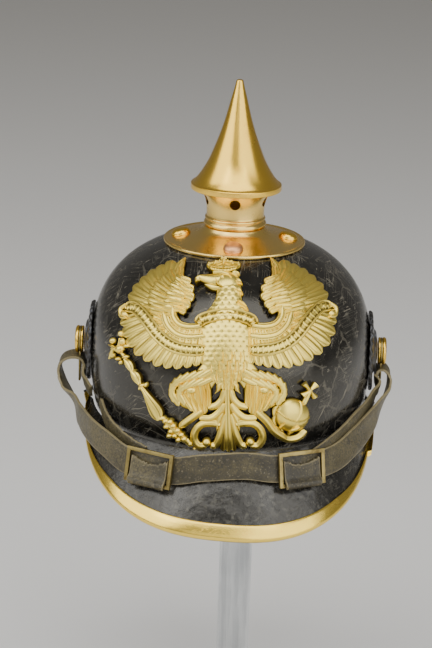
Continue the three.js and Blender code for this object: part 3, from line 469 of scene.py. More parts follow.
def use(tree, group, vector, **values):
    """Places a node group in a material, with its own values."""
    made = tree.nodes.new("ShaderNodeGroup")
    made.node_tree = group
    connect(tree, made.inputs["Vector"], vector)
    for key, value in values.items():
        connect(tree, made.inputs[key], value)
    return made.outputs[0]


# %% A new material
def new_finish(name, **constants):
    """Makes a material. Returns it, its node tree, its shader and its own coordinates."""
    material = bpy.data.materials.new(name)
    material.use_nodes = True
    tree = material.node_tree
    shader = tree.nodes["Principled BSDF"]
    for key, value in constants.items():
        shader.inputs[key.replace("_", " ")].default_value = value
    place = tree.nodes.new("ShaderNodeTexCoord").outputs["Object"]
    return material, tree, shader, place


def stretched(tree, place, scale=(1, 1, 1), turn=(0, 0, 0)):
    """The coordinates drawn out or turned, to stretch a pattern along the piece."""
    return node(tree, "Mapping", Vector=place, Scale=scale, Rotation=turn).outputs[0]


def bumped(tree, shader, height, strength, depth):
    """Tips the shading by a height, `depth` millimetres deep."""
    bump = node(tree, "Bump", Height=height, Strength=strength, Distance=depth * MM)
    tree.links.new(bump.outputs[0], shader.inputs["Normal"])


# %% [markdown]
# ### Black lacquered leather
#
# The skull and visors are cowhide, boiled, blocked and lacquered. A century of drying and
# handling has crackled and scratched the lacquer into thin lines that catch dust. A flat black
# would look like plastic, so the colour carries cracks, scratches and scuffs, the gloss is
# uneven, and the bump follows both.


# %% Lacquer
SCUFF_GREY, DUST_GREY = (0.1, 0.094, 0.074, 1), (0.16, 0.145, 0.11, 1)
RUST_RED = (0.045, 0.014, 0.009, 1)


def lacquer(name, net, dust, pits, gloss, bump, waves, faded, tint, mottle, marks, rust_at=None):
    """Black lacquer, over leather with a pebbled skin.

    `net`, `pits` and `mottle` scale the cracks, the skin and the scuffs, `dust` and `marks` pale
    the scuffs and the lines, `faded` lifts the black, and `waves` swell the bump."""
    material, tree, shader, place = new_finish(name, Coat_Weight=0.26, Coat_Roughness=0.12)
    shader.inputs["Specular Tint"].default_value = (*tint, 1)
    cracks = use(tree, crackle, place, Scale=net, Width=0.03, Cover=0.46)
    fine = use(tree, scratches, place, Width=0.006, Cover=0.47)
    rubbed = use(tree, patches, place, Scale=26.0, Low=0.42, High=0.7)
    scuffed = use(tree, patches, place, Scale=mottle, Low=0.5, High=0.72)
    lines = sums(tree, "MAXIMUM", sums(tree, "MULTIPLY", cracks, 0.35), fine)
    deep, worn = 0.006 * faded, 0.016 * faded
    black, rubbed_black = (deep, 0.94 * deep, 0.83 * deep, 1), (worn, 0.94 * worn, 0.84 * worn, 1)
    base = mixed(tree, rubbed, black, rubbed_black)
    base = mixed(tree, sums(tree, "MULTIPLY", scuffed, dust), base, SCUFF_GREY)
    dusty = mixed(tree, sums(tree, "MULTIPLY", lines, marks), base, DUST_GREY)
    if rust_at:
        spot = node(tree, "VectorMath", {"operation": "DISTANCE"})
        tree.links.new(place, spot.inputs[0])
        spot.inputs[1].default_value = in_row(rust_at)
        cloud = noise(tree, place, 260.0)
        ragged = sums(tree, "MULTIPLY_ADD", cloud, 0.006, spot.outputs["Value"])
        dusty = mixed(tree, between(tree, ragged, 0.0105, 0.0075), dusty, RUST_RED)
    tree.links.new(dusty, shader.inputs["Base Color"])
    rough = sums(tree, "MULTIPLY_ADD", rubbed, 0.12, gloss)
    rough = sums(tree, "MULTIPLY_ADD", scuffed, 0.14, rough)
    tree.links.new(sums(tree, "MULTIPLY_ADD", lines, 0.3, rough), shader.inputs["Roughness"])
    skin = use(tree, grain, place, Scale=pits)
    carved = sums(tree, "MULTIPLY_ADD", lines, -0.5, skin)
    carved = sums(tree, "MULTIPLY_ADD", noise(tree, place, 110.0, 2.0), waves, carved)
    bumped(tree, shader, carved, bump, 0.25)
    return material


skull_lacquer = lacquer(
    "skull_lacquer", net=60.0, dust=0.26, pits=420.0, gloss=0.18, bump=0.24, waves=0.6, faded=1.0,
    tint=(1.0, 0.93, 0.76), mottle=150.0, marks=0.85, rust_at=(-38.5, -80, -21),
)
visor_lacquer = lacquer(
    "visor_lacquer", net=330.0, dust=0.7, pits=260.0, gloss=0.1, bump=0.9, waves=2.6, faded=2.4,
    tint=(1.0, 0.97, 0.88), mottle=300.0, marks=0.2,
)

# %% [markdown]
# ### Brass, gilt and copper
#
# The spike and its base were polished daily, so their brass is bright with brown clouds where
# hands didn't reach. The cast plate is fire-gilt: paler and softer in gloss. Its recesses carry
# painted shade, dark where its hollows and overlaps would lie in shadow, and each of its pieces
# marks them in an attribute of its own. Buckles and hooks have aged to a dull olive brown. One
# recipe makes them all, with different colours and gloss.


# %% Metals
def metal(name, bright, dull, gloss, cloud=(0.5, 0.8), relief_shade=None, bump=0.1, spots=30.0):
    """Metal with cloudy tarnish, dark specks and fine rubs.

    A recess colour, where given, is painted shade: the piece's recesses are darkened towards it.
    """
    material, tree, shader, place = new_finish(name, Metallic=1.0)
    tarnish = use(tree, patches, place, Scale=spots, Low=cloud[0], High=cloud[1])
    colour = mixed(tree, tarnish, (*bright, 1), (*dull, 1))
    specks = use(tree, patches, place, Scale=420.0, Low=0.66, High=0.74)
    speck_colour = (*(0.4 * each for each in dull), 1)
    colour = mixed(tree, sums(tree, "MULTIPLY", specks, 0.5), colour, speck_colour)
    rough = sums(tree, "MULTIPLY_ADD", tarnish, 0.16, gloss)
    if relief_shade:
        # Painted shade: recesses and overlaps are darkened and dulled towards the recess colour,
        # where they would lie in shadow.
        depth = node(tree, "Attribute", {"attribute_name": "relief_shade"}).outputs["Fac"]
        recess_shade = between(tree, depth, 0.62, 0.05)
        colour = mixed(tree, sums(tree, "MULTIPLY", recess_shade, 0.95), colour, (*relief_shade, 1))
        rough = sums(tree, "MULTIPLY_ADD", recess_shade, 0.25, rough)
    tree.links.new(colour, shader.inputs["Base Color"])
    tree.links.new(rough, shader.inputs["Roughness"])
    rubs = use(tree, scratches, place, Width=0.02, Cover=0.42)
    dents = noise(tree, place, 160.0, 5.0)
    bumped(tree, shader, sums(tree, "MULTIPLY_ADD", rubs, -0.2, dents), bump, 0.3)
    return material


polished_brass = metal("polished_brass", (0.97, 0.62, 0.09), (0.66, 0.38, 0.06), 0.25)
spine_brass = metal("spine_brass", (0.84, 0.58, 0.2), (0.5, 0.3, 0.1), 0.22)
trim_brass = metal("trim_brass", (1.0, 0.71, 0.12), (0.8, 0.52, 0.08), 0.24, bump=0.22)
plate_brass = metal("plate_brass", (0.9, 0.63, 0.18), (0.5, 0.33, 0.08), 0.26)
# The gilt's last colour is the painted shade laid in its recesses.
gilt = metal(
    "gilt", (1.0, 0.78, 0.16), (0.94, 0.66, 0.11), 0.34, relief_shade=(0.05, 0.026, 0.004), bump=0.14,
)
aged_brass = metal(
    "aged_brass", (0.36, 0.28, 0.1), (0.16, 0.115, 0.04), 0.34, cloud=(0.4, 0.7), spots=90.0,
)
stud_copper = metal("stud_copper", (0.84, 0.43, 0.2), (0.58, 0.26, 0.12), 0.44)

# %% [markdown]
# ### Strap leather, paint and acrylic
#
# The chin strap's lacquer has rubbed off to grey-brown hide. It is paler towards the helmet's
# sides, and palest along its edges, which an attribute called edge marks. The cockades are
# painted black, with the paint chipped in small patches. The rod is clear acrylic: a glass shader
# with a slight haze. The thick foot is the same stuff with a frosted face, because under clear
# glass the table would lie in the foot's own black shadow.


# %% Strap leather
def strap_leather(name):
    """Old hide: two browns, paler sides and edges, dark and pale mottling, and fine cracks."""
    material, tree, shader, place = new_finish(name)
    edge = node(tree, "Attribute", {"attribute_name": "edge"}).outputs["Fac"]
    worn = use(tree, patches, place, Scale=70.0, Low=0.4, High=0.7)
    sideways = node(tree, "SeparateXYZ", Vector=place).outputs["X"]
    outer = between(tree, sums(tree, "ABSOLUTE", sideways), 0.03, 0.085)
    mottled = use(tree, patches, place, Scale=900.0, Low=0.44, High=0.6)
    pale = use(tree, patches, place, Scale=800.0, Low=0.56, High=0.66)
    cracks = use(tree, crackle, place, Scale=260.0, Width=0.05, Cover=0.48)
    ragged_edge = sums(tree, "MULTIPLY_ADD", noise(tree, place, 180.0), 0.35, edge)
    rubbed = between(tree, ragged_edge, 0.85, 1.15)
    colour = mixed(tree, worn, (0.032, 0.026, 0.011, 1), (0.085, 0.069, 0.029, 1))
    for mask, weight, over in (
        (outer, 0.4, (0.2, 0.165, 0.076, 1)),
        (mottled, 0.75, (0.03, 0.026, 0.017, 1)),
        (pale, 0.5, (0.24, 0.2, 0.12, 1)),
        (cracks, 0.6, (0.02, 0.017, 0.012, 1)),
        (rubbed, 0.6, (0.32, 0.26, 0.13, 1)),
    ):
        colour = mixed(tree, sums(tree, "MULTIPLY", mask, weight), colour, over)
    tree.links.new(colour, shader.inputs["Base Color"])
    tree.links.new(sums(tree, "MULTIPLY_ADD", worn, 0.16, 0.42), shader.inputs["Roughness"])
    carved = sums(tree, "MULTIPLY_ADD", cracks, -0.6, use(tree, grain, place, Scale=520.0))
    bumped(tree, shader, carved, 0.55, 0.3)
    return material


strap_hide = strap_leather("strap_hide")

# %% Black paint
black_paint, tree, shader, place = new_finish("black_paint", Coat_Weight=0.2)
chips = use(tree, patches, place, Scale=240.0, Low=0.54, High=0.66)
chipped = mixed(tree, chips, (0.016, 0.015, 0.014, 1), (0.13, 0.14, 0.16, 1))
tree.links.new(chipped, shader.inputs["Base Color"])
tree.links.new(sums(tree, "MULTIPLY_ADD", chips, 0.2, 0.34), shader.inputs["Roughness"])


# %% Acrylic
def acrylic_finish(name, clear, streak, polish, scuffed):
    """Acrylic with faint upright streaks. Under 1, `clear` lets its pale body show."""
    material, tree, shader, place = new_finish(name, Transmission_Weight=clear, IOR=1.49)
    haze = noise(tree, stretched(tree, place, (1, 1, 0.06)), 240.0)
    tint = mixed(tree, between(tree, haze, 0.4, 0.65), (0.8, 0.82, 0.83, 1), (*streak, 1))
    tree.links.new(tint, shader.inputs["Base Color"])
    tree.links.new(between(tree, haze, 0.4, 0.8, polish, scuffed), shader.inputs["Roughness"])
    return material


acrylic = acrylic_finish("acrylic", 1.0, (0.5, 0.52, 0.54), 0.05, 0.2)
frosted = acrylic_finish("frosted_acrylic", 0.35, (0.72, 0.74, 0.76), 0.16, 0.34)
print("materials:", len(bpy.data.materials), "groups:", len(bpy.data.node_groups))

# %% [markdown]
# ## The skull
#
# The skull is one piece of hide blocked over a wooden form: almost a half ball, flatter on top and
# upright at the sides, with its rim tucked in. A UV sphere could be squashed to it, but a spun
# section keeps even rings from crown to rim and gives the wall its real thickness. The form is a
# little longer than wide, so the rings are drawn out from front to back, more towards the rim.

# %% The form as numbers
FORM = {
    "half_width": 87.2, "half_length": 99.0, "crown": 72.5, "power": 2.4,
    "rim": -36.5, "tuck": 3.4,
}
WALL = 2.5


def stretch_at(z):
    """How much longer than wide the form is at a height."""
    rise = np.clip(z / FORM["crown"], 0, 1)
    return 1 + (FORM["half_length"] / FORM["half_width"] - 1) * (1 - rise**2)


def form_radius(z, off=0.0):
    """The form's half width at a height, `off` outside its face."""
    width = FORM["half_width"] + off
    rise = np.clip(z / (FORM["crown"] + off), 0, 1)
    dome = width * (1 - rise ** FORM["power"]) ** (1 / FORM["power"])
    return np.where(z <= 0, width - FORM["tuck"] * np.clip(z / FORM["rim"], 0, 2) ** 3, dome)


def onto_form(start, direction, off, reach=220.0):
    """Slides points along a direction until they meet the form's face, `off` outside it."""
    start = np.asarray(start, float)
    near, far = np.zeros(len(start)), np.full(len(start), reach)
    for _ in range(34):
        middle = (near + far) / 2
        at = start + middle[:, None] * direction
        outside = np.hypot(at[:, 0], at[:, 1] / stretch_at(at[:, 2])) > form_radius(at[:, 2], off)
        near, far = np.where(outside, near, middle), np.where(outside, middle, far)
    return start + far[:, None] * direction


# %% The skull, spun and drawn out
def quarter(width, height, count):
    """The dome's section, from the crown to where the wall starts."""
    angles = np.linspace(0, math.pi / 2, count)
    power = 2 / FORM["power"]
    return [(width * math.sin(a) ** power, height * max(0, math.cos(a)) ** power) for a in angles]


outer = quarter(FORM["half_width"], FORM["crown"], 46)
inner = quarter(FORM["half_width"] - WALL, FORM["crown"] - WALL, 30)[::-1]
down_wall = [FORM["rim"] * t for t in (0.2, 0.4, 0.6, 0.75, 0.9, 1)]
side = [(float(form_radius(z)), z) for z in down_wall]
skull = spun("skull", outer + side + [(side[-1][0] - WALL, FORM["rim"])] + inner, steps=160)
skull = softened(skull, 0.6, angle=60)


def drawn_out(points):
    """Stretches each ring from front to back."""
    own = in_helmet(points)
    own[:, 1] *= stretch_at(own[:, 2])
    return own


laid(skull, drawn_out)
finished(skull, "skull", ["leather_skull"], skull_lacquer)

# %% [markdown]
# ## Visors
#
# Each visor is a curved sheet of harness leather sewn to the skull's edge. Its inner edge follows
# the skull and its outer edge a squarer curve that drops towards the middle. Bridging the two
# edges with an operator would leave straight ribs between them, and the real sheet bulges, so a
# flat blank is laid on the surface that the two edges define and then given its thickness.

# %% The visor's surface
VISOR_END = {"end": 8.0, "end_z": -37.0}
FRONT = {"width": 84.5, "reach": 130.0, "tip_z": -76.0, "fullness": 2.5, "drop": 0.7, **VISOR_END}
REAR = {"width": 89.5, "reach": 124.0, "tip_z": -72.0, "fullness": 2.4, "drop": 0.8, **VISOR_END}
VISOR_WALL, SEAM_Z = 2.4, -33.9


def visor_at(visor, side, s, t):
    """Points of a visor's upper face: s runs from -X to +X, t from the seam to the edge."""
    first = math.asin(visor["end"] / FORM["half_length"])
    inner_angle = first + (math.pi - 2 * first) * s
    seam = form_radius(np.array([SEAM_Z]), VISOR_WALL + 0.6)[0]
    stretch = stretch_at(0.0)
    seam_x, seam_y = -seam * np.cos(inner_angle), side * seam * stretch * np.sin(inner_angle)
    top = np.stack([seam_x, seam_y, np.full_like(s, SEAM_Z)], 1)
    outer_angle = math.pi * np.clip(s, 0, 1)
    across, forward = np.cos(outer_angle), np.clip(np.sin(outer_angle), 0, 1)
    x = -visor["width"] * np.sign(across) * np.abs(across) ** (2 / visor["fullness"])
    x = x + np.sign(x) * (VISOR_WALL + 1) * (1 - forward)
    fullness = forward ** (2 / visor["fullness"])
    y = side * (visor["end"] + (visor["reach"] - visor["end"]) * fullness)
    z = visor["end_z"] + (visor["tip_z"] - visor["end_z"]) * forward ** visor["drop"]
    edge = np.stack([x, y, z - (0.05 * x if side < 0 else 0)], 1)
    t = t[:, None]
    bulge = 3.2 * t[:, 0] * (1 - t[:, 0]) * forward
    lift = np.stack([-bulge * across / 2, side * bulge * forward / 2, bulge / 1.4], 1)
    return top + (edge - top) * t + lift


def visor_frame(visor, side, s, t):
    """The place on the upper face, the direction out of it, and the direction down to the edge."""
    step = 1e-3
    s_in = np.clip(s, step, 1 - step)
    along = visor_at(visor, side, s_in + step, t) - visor_at(visor, side, s_in - step, t)
    down = visor_at(visor, side, s, t + step) - visor_at(visor, side, s, t - step)
    up = np.cross(along, down)
    up /= np.linalg.norm(up, axis=1)[:, None]
    flip = up[:, 2] + 0.2 * np.hypot(up[:, 0], up[:, 1]) < 0
    up[flip] *= -1
    return visor_at(visor, side, s, t), up, down / np.linalg.norm(down, axis=1)[:, None]


# %% Two visors
def visor_sheet(visor, side):
    """A blank laid on a visor's surface, with its thickness and rounded edges."""
    sheet = grid_blank(150, 18)
    laid(sheet, lambda p: visor_at(visor, side, p[:, 0] + 0.5, p[:, 1] + 0.5))
    facing_out(sheet)
    hardened(sheet, "SOLIDIFY", thickness=VISOR_WALL * MM, offset=-1.0)
    return softened(sheet, 0.5, angle=60)


finished(visor_sheet(FRONT, -1), "front_peak", ["front_visor"], visor_lacquer)
finished(visor_sheet(REAR, 1), "rear_peak", ["rear_visor"], visor_lacquer)

# %% [markdown]
# ## Brass trim
#
# A strip of brass is folded round the front visor's edge like a hem: over the top, round the edge
# and back underneath. The fold is drawn once as a section and carried along the edge, which is
# what a Bevel on a curve object does, but here the section also has to turn with the visor.

# %% The fold's section, from the top's inner edge to the underside's
FOLD = np.array([
    (-8.0, 0.95), (-7.7, 1.3), (-7.0, 1.42), (-4.5, 1.5), (-1.8, 1.4), (-0.1, 1.1), (0.85, 0.4),
    (1.25, -0.6), (1.25, -1.8), (0.85, -2.75), (-0.2, -3.3), (-2.2, -3.45), (-5.0, -3.55),
])
fold_span = np.concatenate([[0], np.cumsum(np.hypot(*np.diff(FOLD, axis=0).T))])


def trim_place(p):
    """Carries the fold along the edge, narrower towards its ends."""
    s, share = p[:, 0] + 0.5, (p[:, 1] + 0.5) * fold_span[-1]
    out = np.interp(share, fold_span, FOLD[:, 0])
    up_by = np.interp(share, fold_span, FOLD[:, 1])
    ends = np.minimum(1, 0.2 + 3.4 * np.minimum(s, 1 - s))
    place, up, down = visor_frame(FRONT, -1, s, np.ones_like(s))
    return place + down * np.where(out < 0, out * ends, out)[:, None] + up * up_by[:, None]


trim = laid(grid_blank(220, 26), trim_place)
facing_out(trim, (0, -60, -45))
hardened(trim, "SOLIDIFY", thickness=0.7 * MM, offset=0.0)
finished(softened(trim, 0.15, angle=60), "peak_trim", ["visor_trim"], trim_brass)

# %% [markdown]
# ## Rear spine
#
# A narrow brass strip runs from the base plate down the back of the skull and over the rear
# visor. It has a low rounded ridge. A straight blank is shaped across its width, then laid down
# the middle of the back, first on the form and then on the visor.


# %% The spine
SPINE_HALF_WIDTH, ON_SKULL = 7.5, 0.62


def spine_place(p):
    """Lays the ridged strip down the skull's back for a share of its length, then on the visor."""
    a, across = p[:, 0] + 0.5, 2 * p[:, 1]
    ridge = 0.9 * np.exp(-((across / 0.42) ** 2)) + 0.25 * (np.abs(across) < 0.86)
    x = across * SPINE_HALF_WIDTH * np.where(a > 0.985, 0.8, 1)
    angle = np.radians(60.5 - 70.5 * np.clip(a / ON_SKULL, 0, 1))
    out = np.stack([np.zeros_like(a), np.cos(angle), np.sin(angle)], 1)
    start = np.stack([x, np.zeros_like(a), np.full_like(a, -14.0)], 1)
    on_skull = onto_form(start, out, 0.7)
    on_skull += out * (0.4 + ridge)[:, None]
    along = np.clip((a - ON_SKULL) / (1 - ON_SKULL), 0, 1)
    place, up, _ = visor_frame(REAR, 1, np.full_like(a, 0.5), 0.03 + 0.94 * along)
    on_visor = place + up * (1.4 + ridge)[:, None]
    on_visor[:, 0] = x
    on_visor[:, 1] -= x**2 / 260
    return np.where((a <= ON_SKULL)[:, None], on_skull, on_visor)


spine = laid(grid_blank(120, 16), spine_place)
facing_out(spine, (0, 0, -40))
hardened(spine, "SOLIDIFY", thickness=0.8 * MM, offset=-1.0)
finished(softened(spine, 0.2, angle=50), "back_spine", ["rear_spine"], spine_brass)

# %% [markdown]
# ## Base plate and studs
#
# The spike's base is a disc of brass spun on a lathe, with a shallow cone, a rolled lip and a
# foot that sweeps up to the neck. Four domed studs fasten it. Spinning a drawn section is the
# natural way. One stud is spun, tipped to the cone's slope, copied and turned to its place.

# %% Base plate
CONE_FOOT, CONE_TOP = 68.9, 72.6
CONE_OUT, CONE_IN, CONE_RUN = 41.3, 26.0, 15.3
cone_fall = (CONE_FOOT - CONE_TOP) / (CONE_OUT - CONE_IN)
plate_rows = [(0, 72.2), (14, 71.9), (25, 70.9), (35, 69.1), (42.8, 66.9)]
plate_rows += [
    (43.5, 67.3), (43.7, 68.2), (43.45, 69.0), (42.9, 69.35), (42.2, 69.3), (41.5, 68.95),
]
plate_rows += [
    (CONE_OUT - CONE_RUN * t, CONE_FOOT - CONE_RUN * t * cone_fall) for t in (0.08, 0.3, 0.6, 0.9)
]
plate_rows += drawn([(25.4, 72.75), (23.2, 73.45), (21.2, 74.45), (19.6, 75.9), (18.6, 77.4)], 0.5)
plate_rows += [(17.5, 77.5), (0, 77.5)]
base = softened(spun("base_plate", plate_rows, steps=128), 0.15, angle=40)
finished(base, "base_plate", ["spike_base"], plate_brass, angle=30)


# %% One stud, then four
STUDS_OUT = 33


def swung(x, y, angle):
    """Turns flat coordinates by an angle in radians."""
    return x * math.cos(angle) - y * math.sin(angle), x * math.sin(angle) + y * math.cos(angle)


def tipped(p, angle):
    """Tips a stud to the cone's slope, sets it out, then turns it about the helmet's middle."""
    x, y, z = in_helmet(p).T
    x, z = swung(x, z, math.atan(cone_fall))
    x, y = swung(x + STUDS_OUT, y, math.radians(angle))
    return np.stack([x, y, z + (CONE_TOP + cone_fall * (STUDS_OUT - CONE_IN) + 0.1)], 1)


dome_angles = np.linspace(0, math.pi / 2, 12)[:-1]
dome = [(5.9 * math.cos(a) ** 0.8, 0.5 + 3.1 * math.sin(a)) for a in dome_angles]
stud = spun("stud", [(0, -0.2), (6.0, -0.2), (6.05, 0.3)] + dome + [(0, 3.6)], steps=40)
for place, angle in {"front": -90, "back": 90, "left": 180, "right": 0}.items():
    twin = laid(copied(stud), lambda p: tipped(p, angle))
    slot, finish = ("copper", stud_copper) if place == "front" else ("brass", polished_brass)
    finished(twin, f"stud_{place}", [f"base_stud_{place}"], finish)
bpy.data.objects.remove(stud)

# %% [markdown]
# ## Neck with its vents
#
# The neck is a tube that flares to the spike, with two beads at its foot and five round vents
# that let air through the base. The tube is spun, and the vents are cut by a Boolean modifier
# with five drills, as a real one is drilled.

# %% Neck
neck_rows = drawn([(17.5, 77.5), (18.6, 78.0), (19.25, 79.0), (18.9, 80.4), (17.9, 81.6)], 0.35)
neck_rows += drawn([(17.95, 81.9), (18.5, 82.3), (18.55, 83.2), (17.8, 83.9)], 0.3)
neck_rows += drawn([(17.7, 84.4), (17.75, 88.0), (18.3, 92.5), (19.6, 96.5), (21.8, 100.6)], 0.8)
neck_rows += [(20.6, 100.6), (17.4, 93.0), (16.7, 89.5), (16.3, 77.5), (17.5, 77.5)]
neck = spun("neck", neck_rows, steps=96)
VENTS, VENT_RADIUS, VENT_OUT, VENT_Z = 5, 3.3, 18.5, 94.5
drills = []
for i in range(VENTS):
    angle = math.radians(-90 + 360 / VENTS * i)
    where = in_row((VENT_OUT * math.cos(angle), VENT_OUT * math.sin(angle), VENT_Z))
    bpy.ops.mesh.primitive_cylinder_add(
        vertices=32, radius=VENT_RADIUS * MM, depth=16 * MM,
        location=where, rotation=(0, math.pi / 2, angle),
    )
    drills.append(bpy.context.object)
drill = joined(drills)
hardened(neck, "BOOLEAN", operation="DIFFERENCE", object=drill, solver="EXACT")
bpy.data.objects.remove(drill)
neck = softened(neck, 0.25, angle=50)
finished(neck, "neck_tube", ["spike_neck"], plate_brass, angle=35)

# %% [markdown]
# ## The spike
#
# The spike is hollow spun brass with a concave side that sweeps out to a thick flange. Its line
# is drawn through a few measured radii. Small steps matter here, because polished metal shows
# every facet as a broken reflection.

# %% Spike
spike_side = [
    (26.7, 104.5), (24.0, 107.4), (21.6, 110.9), (17.4, 118.4), (14.3, 125.9), (9.0, 140.9),
    (4.5, 157.9), (2.8, 164.2), (2.15, 167.1),
]
spike_rows = [(0, 100.9), (20.5, 100.9)]
spike_rows += [(27.1, 100.6), (27.75, 100.75), (27.9, 101.2), (27.8, 103.9), (27.5, 104.25)]
spike_rows += drawn(spike_side, 1.4)
spike_rows += [(1.9, 167.7), (1.3, 168), (0, 168)]
spike = softened(spun("spike_point", spike_rows, steps=128), 0.2, angle=40, segments=2)
finished(spike, "spike_point", ["spike"], polished_brass, angle=30)

# %% [markdown]
# ## Cockades
#
# A fluted disc sits under the strap lug on each side. It is stamped from thin sheet: a raised
# middle, a ring of radial flutes and a notched rim. The section is spun with as many steps as the
# flutes need, and then a ripple is pressed in and the disc is dished to the skull's side.

# %% Cockades
FLUTES, DISC_OUT = 26, 87.6
disc_rows = [
    (0, 4.3), (6, 4.1), (11.2, 3.6), (12.4, 3.3), (13.2, 2.7), (14.2, 2.1), (15.2, 1.9),
    (18.4, 1.6), (20.5, 1.8), (22.6, 2.15), (24.2, 2.1), (24.95, 1.4), (25, 0.7), (24.6, 0.3),
    (0, 0.3),
]


def pressed(p, side):
    """Ripples the flutes and the rim, and dishes the disc to the skull's side."""
    x, y, z = in_helmet(p).T
    height = x * side
    radius, angle = np.hypot(y, z), np.arctan2(z, y)
    ripple = np.cos(FLUTES * angle)
    on_flutes = np.clip((radius - 15.0) / 2.5, 0, 1)
    height = height + np.where(height > 0.5, 0.4 * ripple * on_flutes, 0)
    rim = 1 - 0.014 * (1 - ripple) * np.clip((radius - 21) / 4, 0, 1)
    y, z = y * rim, z * rim
    bend = FORM["half_width"] * (1 - np.sqrt(np.clip(1 - (y / FORM["half_length"]) ** 2, 0, 1)))
    lean = FORM["half_width"] - form_radius(z)
    return np.stack([side * (height + DISC_OUT - 0.85 * (bend + lean)), y, z], 1)


SIDES = {"left": -1, "right": 1}
for name, side in SIDES.items():
    disc = spun("disc", disc_rows, steps=FLUTES * 6, facing=side)
    laid(disc, lambda p: pressed(p, side))
    finished(disc, f"fluted_disc_{name}", [f"cockade_{name}"], black_paint)

# %% [markdown]
# ## Strap lugs and hooks
#
# A turned brass lug stands out of each cockade. A keyhole plate hangs on the groove behind its
# head, and its tail holds the strap's fold. The lug is spun about the helmet's side-to-side line.
# The plate starts as two rings bridged together, and its tail is extruded from the lower edge.

# %% Lugs
lug_rows = [
    (0, 92.2), (8.0, 92.2), (8.5, 92.5), (8.55, 93.2), (8.4, 93.35), (6.5, 93.4), (6.4, 94.95),
]
lug_rows += drawn([(8.4, 95.0), (8.6, 95.3), (8.6, 96.1), (8.2, 96.8), (7.2, 97.25)], 0.3)
lug_rows += [(6.4, 97.3), (6.1, 97.1), (5.6, 97.1), (5.2, 97.35), (2.4, 97.45), (0, 97.5)]
for name, side in SIDES.items():
    lug = softened(spun("lug", lug_rows, steps=64, facing=side), 0.12, angle=40)
    finished(lug, f"turned_lug_{name}", [f"lug_{name}"], polished_brass)


# %% Hooks
RING_OUTSIDE, RING_INSIDE, HOOK_X = 8.42, 6.85, 94.2


def keyhole_plate(side, bottom):
    """A ring with a tail, drawn in the X-Y plane, then stood up at the helmet's side."""
    bpy.ops.object.select_all(action="DESELECT")
    bpy.ops.mesh.primitive_circle_add(vertices=48, radius=RING_OUTSIDE * MM)
    plate = bpy.context.object
    editing(plate)
    bpy.ops.mesh.primitive_circle_add(vertices=48, radius=RING_INSIDE * MM)
    bpy.ops.mesh.select_all(action="SELECT")
    bpy.ops.mesh.bridge_edge_loops()
    pick(plate, "edges", lambda m: m.y < -6.4 * MM and abs(m.x) < 5.2 * MM and m.length > 8.0 * MM)
    tail = (0, (bottom + RING_OUTSIDE) * MM, 0)
    bpy.ops.mesh.extrude_region_move(TRANSFORM_OT_translate={"value": tail})
    bpy.ops.transform.resize(value=(1, 0, 1), center_override=(0, bottom * MM, 0))
    bpy.ops.mesh.select_all(action="SELECT")
    bpy.ops.transform.rotate(value=math.pi / 2, orient_axis="X", center_override=(0, 0, 0))
    bpy.ops.object.mode_set(mode="OBJECT")
    laid(plate, lambda p: stood_up(p, side, bottom))
    hardened(plate, "SOLIDIFY", thickness=1.3 * MM, offset=0.0)
    return softened(plate, 0.3, angle=50)


def stood_up(p, side, bottom):
    """The plate at the helmet's side, with its tail hanging down whichever way it was turned."""
    hangs_down = abs(p[:, 2].min() - bottom) < abs(p[:, 2].max() + bottom)
    heights = p[:, 2] if hangs_down else -p[:, 2]
    return np.stack([np.full(len(p), side * HOOK_X), p[:, 0], heights], 1)


for name, side in SIDES.items():
    hook = keyhole_plate(side, {"left": -26.0, "right": -17.0}[name])
    finished(hook, f"keyhole_plate_{name}", [f"strap_hook_{name}"], aged_brass)

# %% [markdown]
# ## Chin strap
#
# The strap is stored over the front visor. It is one band of leather, folded back over a hook at
# each side and run through two buckles, so it is drawn as one route of its real length. A curve
# object with a flat bevel would twist where the leather turns from its edge to its flat, so the
# route carries a turn with each point. The band is a blank laid along it, with rounded edges, a
# slightly wavy edge line and an attribute that marks the worn edges.

# %% The strap's route: x, y, z and turn. 0 stands on edge, and 90 lies from front to back
STRAP = np.array([
    (-85, -27, -25.4, 50), (-88.2, -17.5, -24.8, 62), (-90.6, -9, -23.6, 76),
    (-91.3, -3, -21.6, 88), (-91.3, 0, -18.6, 90), (-91.3, 0, -15.4, 90), (-93.4, 0, -11.2, 90),
    (-99.5, 0, -10.4, 90), (-105, 0, -13, 90), (-107.2, 0, -18.8, 90), (-105.4, -1, -25.5, 90),
    (-101, -8, -31.5, 84), (-95.8, -20, -34.4, 72), (-90.8, -38, -36.2, 52),
    (-82.6, -59, -37.8, 34), (-71.6, -77, -40.2, 18), (-58, -94.5, -43, 4),
    (-42.5, -105, -43.6, 0), (-27, -111, -43, 0), (-12, -111.4, -40.6, 0), (3, -111, -38.8, 0),
    (17, -109.8, -38.6, 0), (30, -108, -40.4, 0), (44.5, -101, -41.6, 0), (58, -91, -41.8, 2),
    (68, -79, -40.8, 6), (76, -65, -38.8, 12), (83, -50, -36, 24), (89.5, -35, -32.6, 44),
    (94.5, -21, -29, 66), (98.4, -9, -25, 82), (100, -2, -19.5, 90), (99.6, 0, -14.2, 90),
    (96.8, 0, -10.8, 90), (93.4, 0, -10.9, 90), (92.1, 0, -14, 90), (92, -1, -18, 90),
    (92.4, -7, -22, 86), (89.8, -18, -25.4, 70), (86.2, -32, -28.2, 50), (79.6, -50, -30.4, 30),
    (71.6, -65.5, -32.8, 14), (62.5, -79.5, -34.9, 6), (52, -90.8, -37.4, 2),
])
LOOSE_END = np.array([
    (-77, -48, -23.6, 30), (-73.2, -60, -28.6, 22), (-68.4, -70.5, -32.6, 16),
    (-61.8, -80.5, -35.8, 10), (-54, -89.5, -37.8, 6), (-46.6, -96.6, -39, 4),
])


